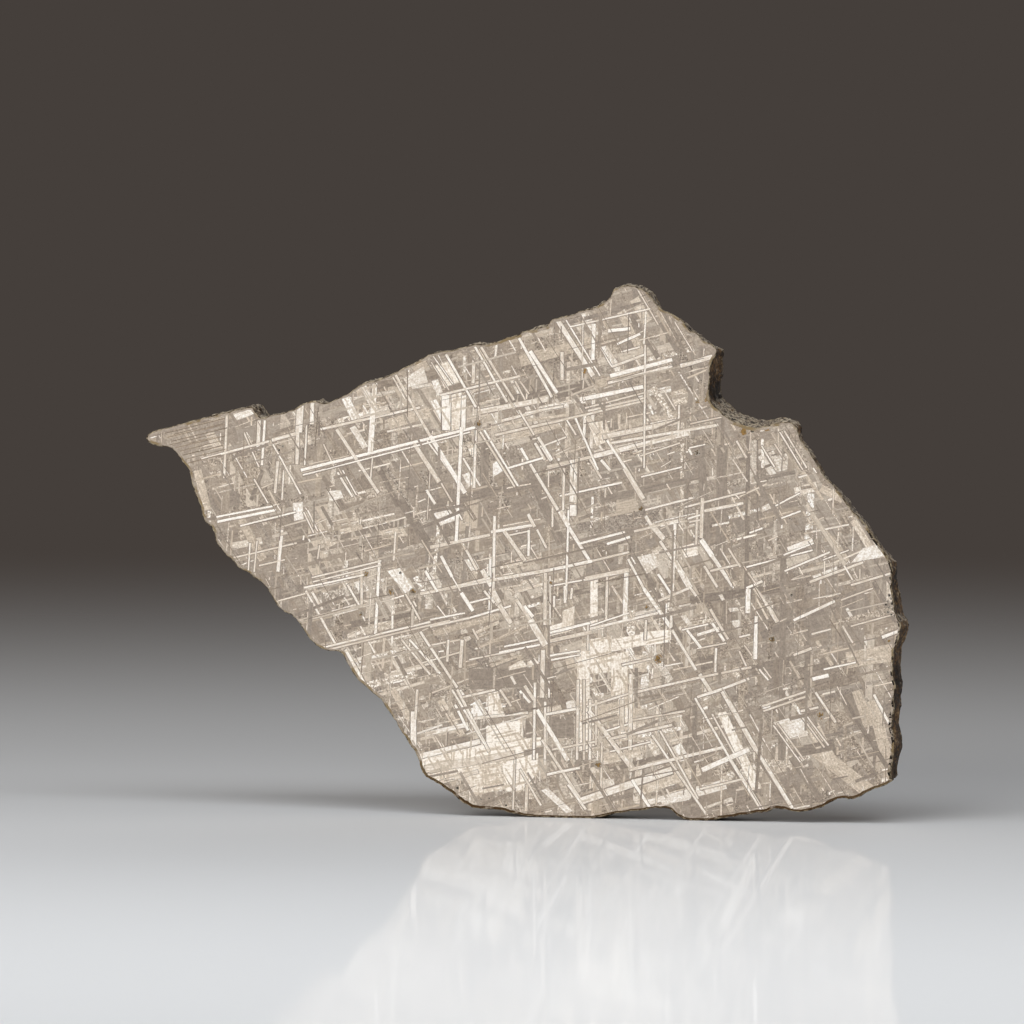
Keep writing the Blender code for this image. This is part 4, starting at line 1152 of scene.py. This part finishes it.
# %% Gloss and relief of the crust
shine = add(tree, "ShaderNodeMath", {0: corner, 1: 0.45}, operation="MULTIPLY")
tree.links.new(shine.outputs[0], shader.inputs["Metallic"])
roughness = add(tree, "ShaderNodeMapRange", {"Value": small, "To Min": 0.62, "To Max": 0.95})
tree.links.new(roughness.outputs[0], shader.inputs["Roughness"])
height = add(tree, "ShaderNodeMath", {0: pits.outputs["Distance"], 1: 0.5, 2: small},
             operation="MULTIPLY_ADD")
relief = add(tree, "ShaderNodeBump", {"Strength": 0.8, "Distance": 0.12 * MM, "Height": height})
tree.links.new(relief.outputs[0], shader.inputs["Normal"])
print("weathered crust:", len(tree.nodes), "nodes")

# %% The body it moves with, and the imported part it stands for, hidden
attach(slice_piece, "root")
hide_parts("meteorite_slice")

# %% [markdown]
# ## Stage, light and camera
#
# The table is a disc of polished white acrylic, which gives the eye a white floor with a faint mirror
# in it, and its far side fades into a dark brown-grey room. A wide soft light stands in front on the
# left, a narrow one hangs over the table before the slab, and a third one stands behind. The camera
# is turned 13 degrees to the right and looks from 4.2 degrees above. It stands 2 metres away and has
# a long lens, so the slab's far end looks no smaller than its near one.

# %% The table
TABLE_RADIUS = 0.55                      # in metres
TABLE_SIDES = 96


def build_stage():
    """The disc that the slab stands on, with its material."""
    turns = [2.0 * math.pi * i / TABLE_SIDES for i in range(TABLE_SIDES)]
    corners = [(TABLE_RADIUS * math.cos(a), TABLE_RADIUS * math.sin(a), 0.0) for a in turns]
    disc_mesh = bpy.data.meshes.new("table")
    disc_mesh.from_pydata(corners, [], [tuple(range(TABLE_SIDES))])
    table = bpy.data.objects.new("table", disc_mesh)
    bpy.context.scene.collection.objects.link(table)

    material = bpy.data.materials.new("polished_white_acrylic")
    material.use_nodes = True
    tree = material.node_tree
    shader = tree.nodes["Principled BSDF"]
    shader.inputs["Base Color"].default_value = colour("#dfe1e3")
    shader.inputs["Roughness"].default_value = 0.6
    shader.inputs["Specular IOR Level"].default_value = 0.0
    mirror = add(tree, "ShaderNodeBsdfAnisotropic", {"Color": colour("#ffffff"), "Roughness": 0.05})
    glossy = add(tree, "ShaderNodeMixShader", {0: 0.17, 1: shader, 2: mirror})
    place = add(tree, "ShaderNodeTexCoord").outputs["Object"]
    # the fade's middle lies in front of the slab, so that the far side goes first
    moved = add(tree, "ShaderNodeVectorMath", {0: place, 1: (0.0, 0.10, 0.0)}, operation="ADD")
    away = add(tree, "ShaderNodeVectorMath", {0: moved}, operation="LENGTH").outputs["Value"]
    fade = add(tree, "ShaderNodeMapRange", {"Value": away, "From Min": 0.20, "From Max": 0.46},
               interpolation_type="SMOOTHSTEP")
    clear = add(tree, "ShaderNodeBsdfTransparent")
    faded = add(tree, "ShaderNodeMixShader", {0: fade, 1: glossy, 2: clear})
    tree.links.new(faded.outputs[0], tree.nodes["Material Output"].inputs["Surface"])
    disc_mesh.materials.append(material)


build_stage()

# %% The room and its lights
def build_world():
    """The plain dark room around it."""
    world = bpy.data.worlds.new("dark_room")
    world.use_nodes = True
    world.node_tree.nodes["Background"].inputs["Color"].default_value = colour("#453f3b")
    bpy.context.scene.world = world


def area_light(name, place, target, size, watts, code, spread=180.0):
    """A soft light of a size in metres, at place and turned to target."""
    data = bpy.data.lights.new(name, "AREA")
    data.shape = "RECTANGLE"
    data.size, data.size_y = size
    data.energy = watts
    data.color = colour(code)[:3]
    data.spread = math.radians(spread)
    light = bpy.data.objects.new(name, data)
    light.location = place
    light.rotation_euler = (Vector(target) - Vector(place)).to_track_quat("-Z", "Y").to_euler()
    light.visible_camera = False
    bpy.context.scene.collection.objects.link(light)


build_world()
area_light("key", (-0.55, -1.25, 0.55), (0.0, 0.0, 0.02), (1.1, 0.8), 10.0, "#fffcf8")
area_light("over_the_front", (0.06, -0.16, 0.30), (0.06, -0.18, 0.0), (0.8, 0.16), 0.95, "#fbfdff", 130.0)
area_light("behind", (0.35, 1.3, 0.7), (0.0, 0.0, 0.0), (1.2, 0.8), 4.2, "#ffffff")

# %% The camera
DISTANCE = 2.0                           # of the camera, in metres
SENSOR = 36.0                            # in millimetres
IMAGE_SIDE = 1024.0


def build_camera():
    """The camera, aimed so that the right foot falls on its own place in the view."""
    forward = Vector((-math.sin(VIEW_TURN) * math.cos(VIEW_RISE), math.cos(VIEW_TURN) * math.cos(VIEW_RISE),
                      -math.sin(VIEW_RISE)))
    right = Vector((math.cos(VIEW_TURN), math.sin(VIEW_TURN), 0.0))
    up = right.cross(forward)
    foot = Vector((square_on(FOOT_RIGHT, FOOT_DOWN)[0], -THICKNESS / 2.0, 0.0))
    aim = (foot + right * (IMAGE_SIDE / 2.0 - FOOT_RIGHT) * TENTH
           + up * (FOOT_DOWN - IMAGE_SIDE / 2.0) * TENTH)
    data = bpy.data.cameras.new("camera")
    data.sensor_width = SENSOR
    data.lens = SENSOR * DISTANCE / (IMAGE_SIDE * TENTH)
    data.clip_end = 20.0
    camera = bpy.data.objects.new("camera", data)
    camera.location = aim - forward * DISTANCE
    camera.rotation_euler = forward.to_track_quat("-Z", "Y").to_euler()
    bpy.context.scene.collection.objects.link(camera)
    bpy.context.scene.camera = camera
    print("camera at", [round(c, 3) for c in camera.location], "lens", round(data.lens), "mm")


build_camera()
bpy.context.scene.view_settings.view_transform = "Standard"
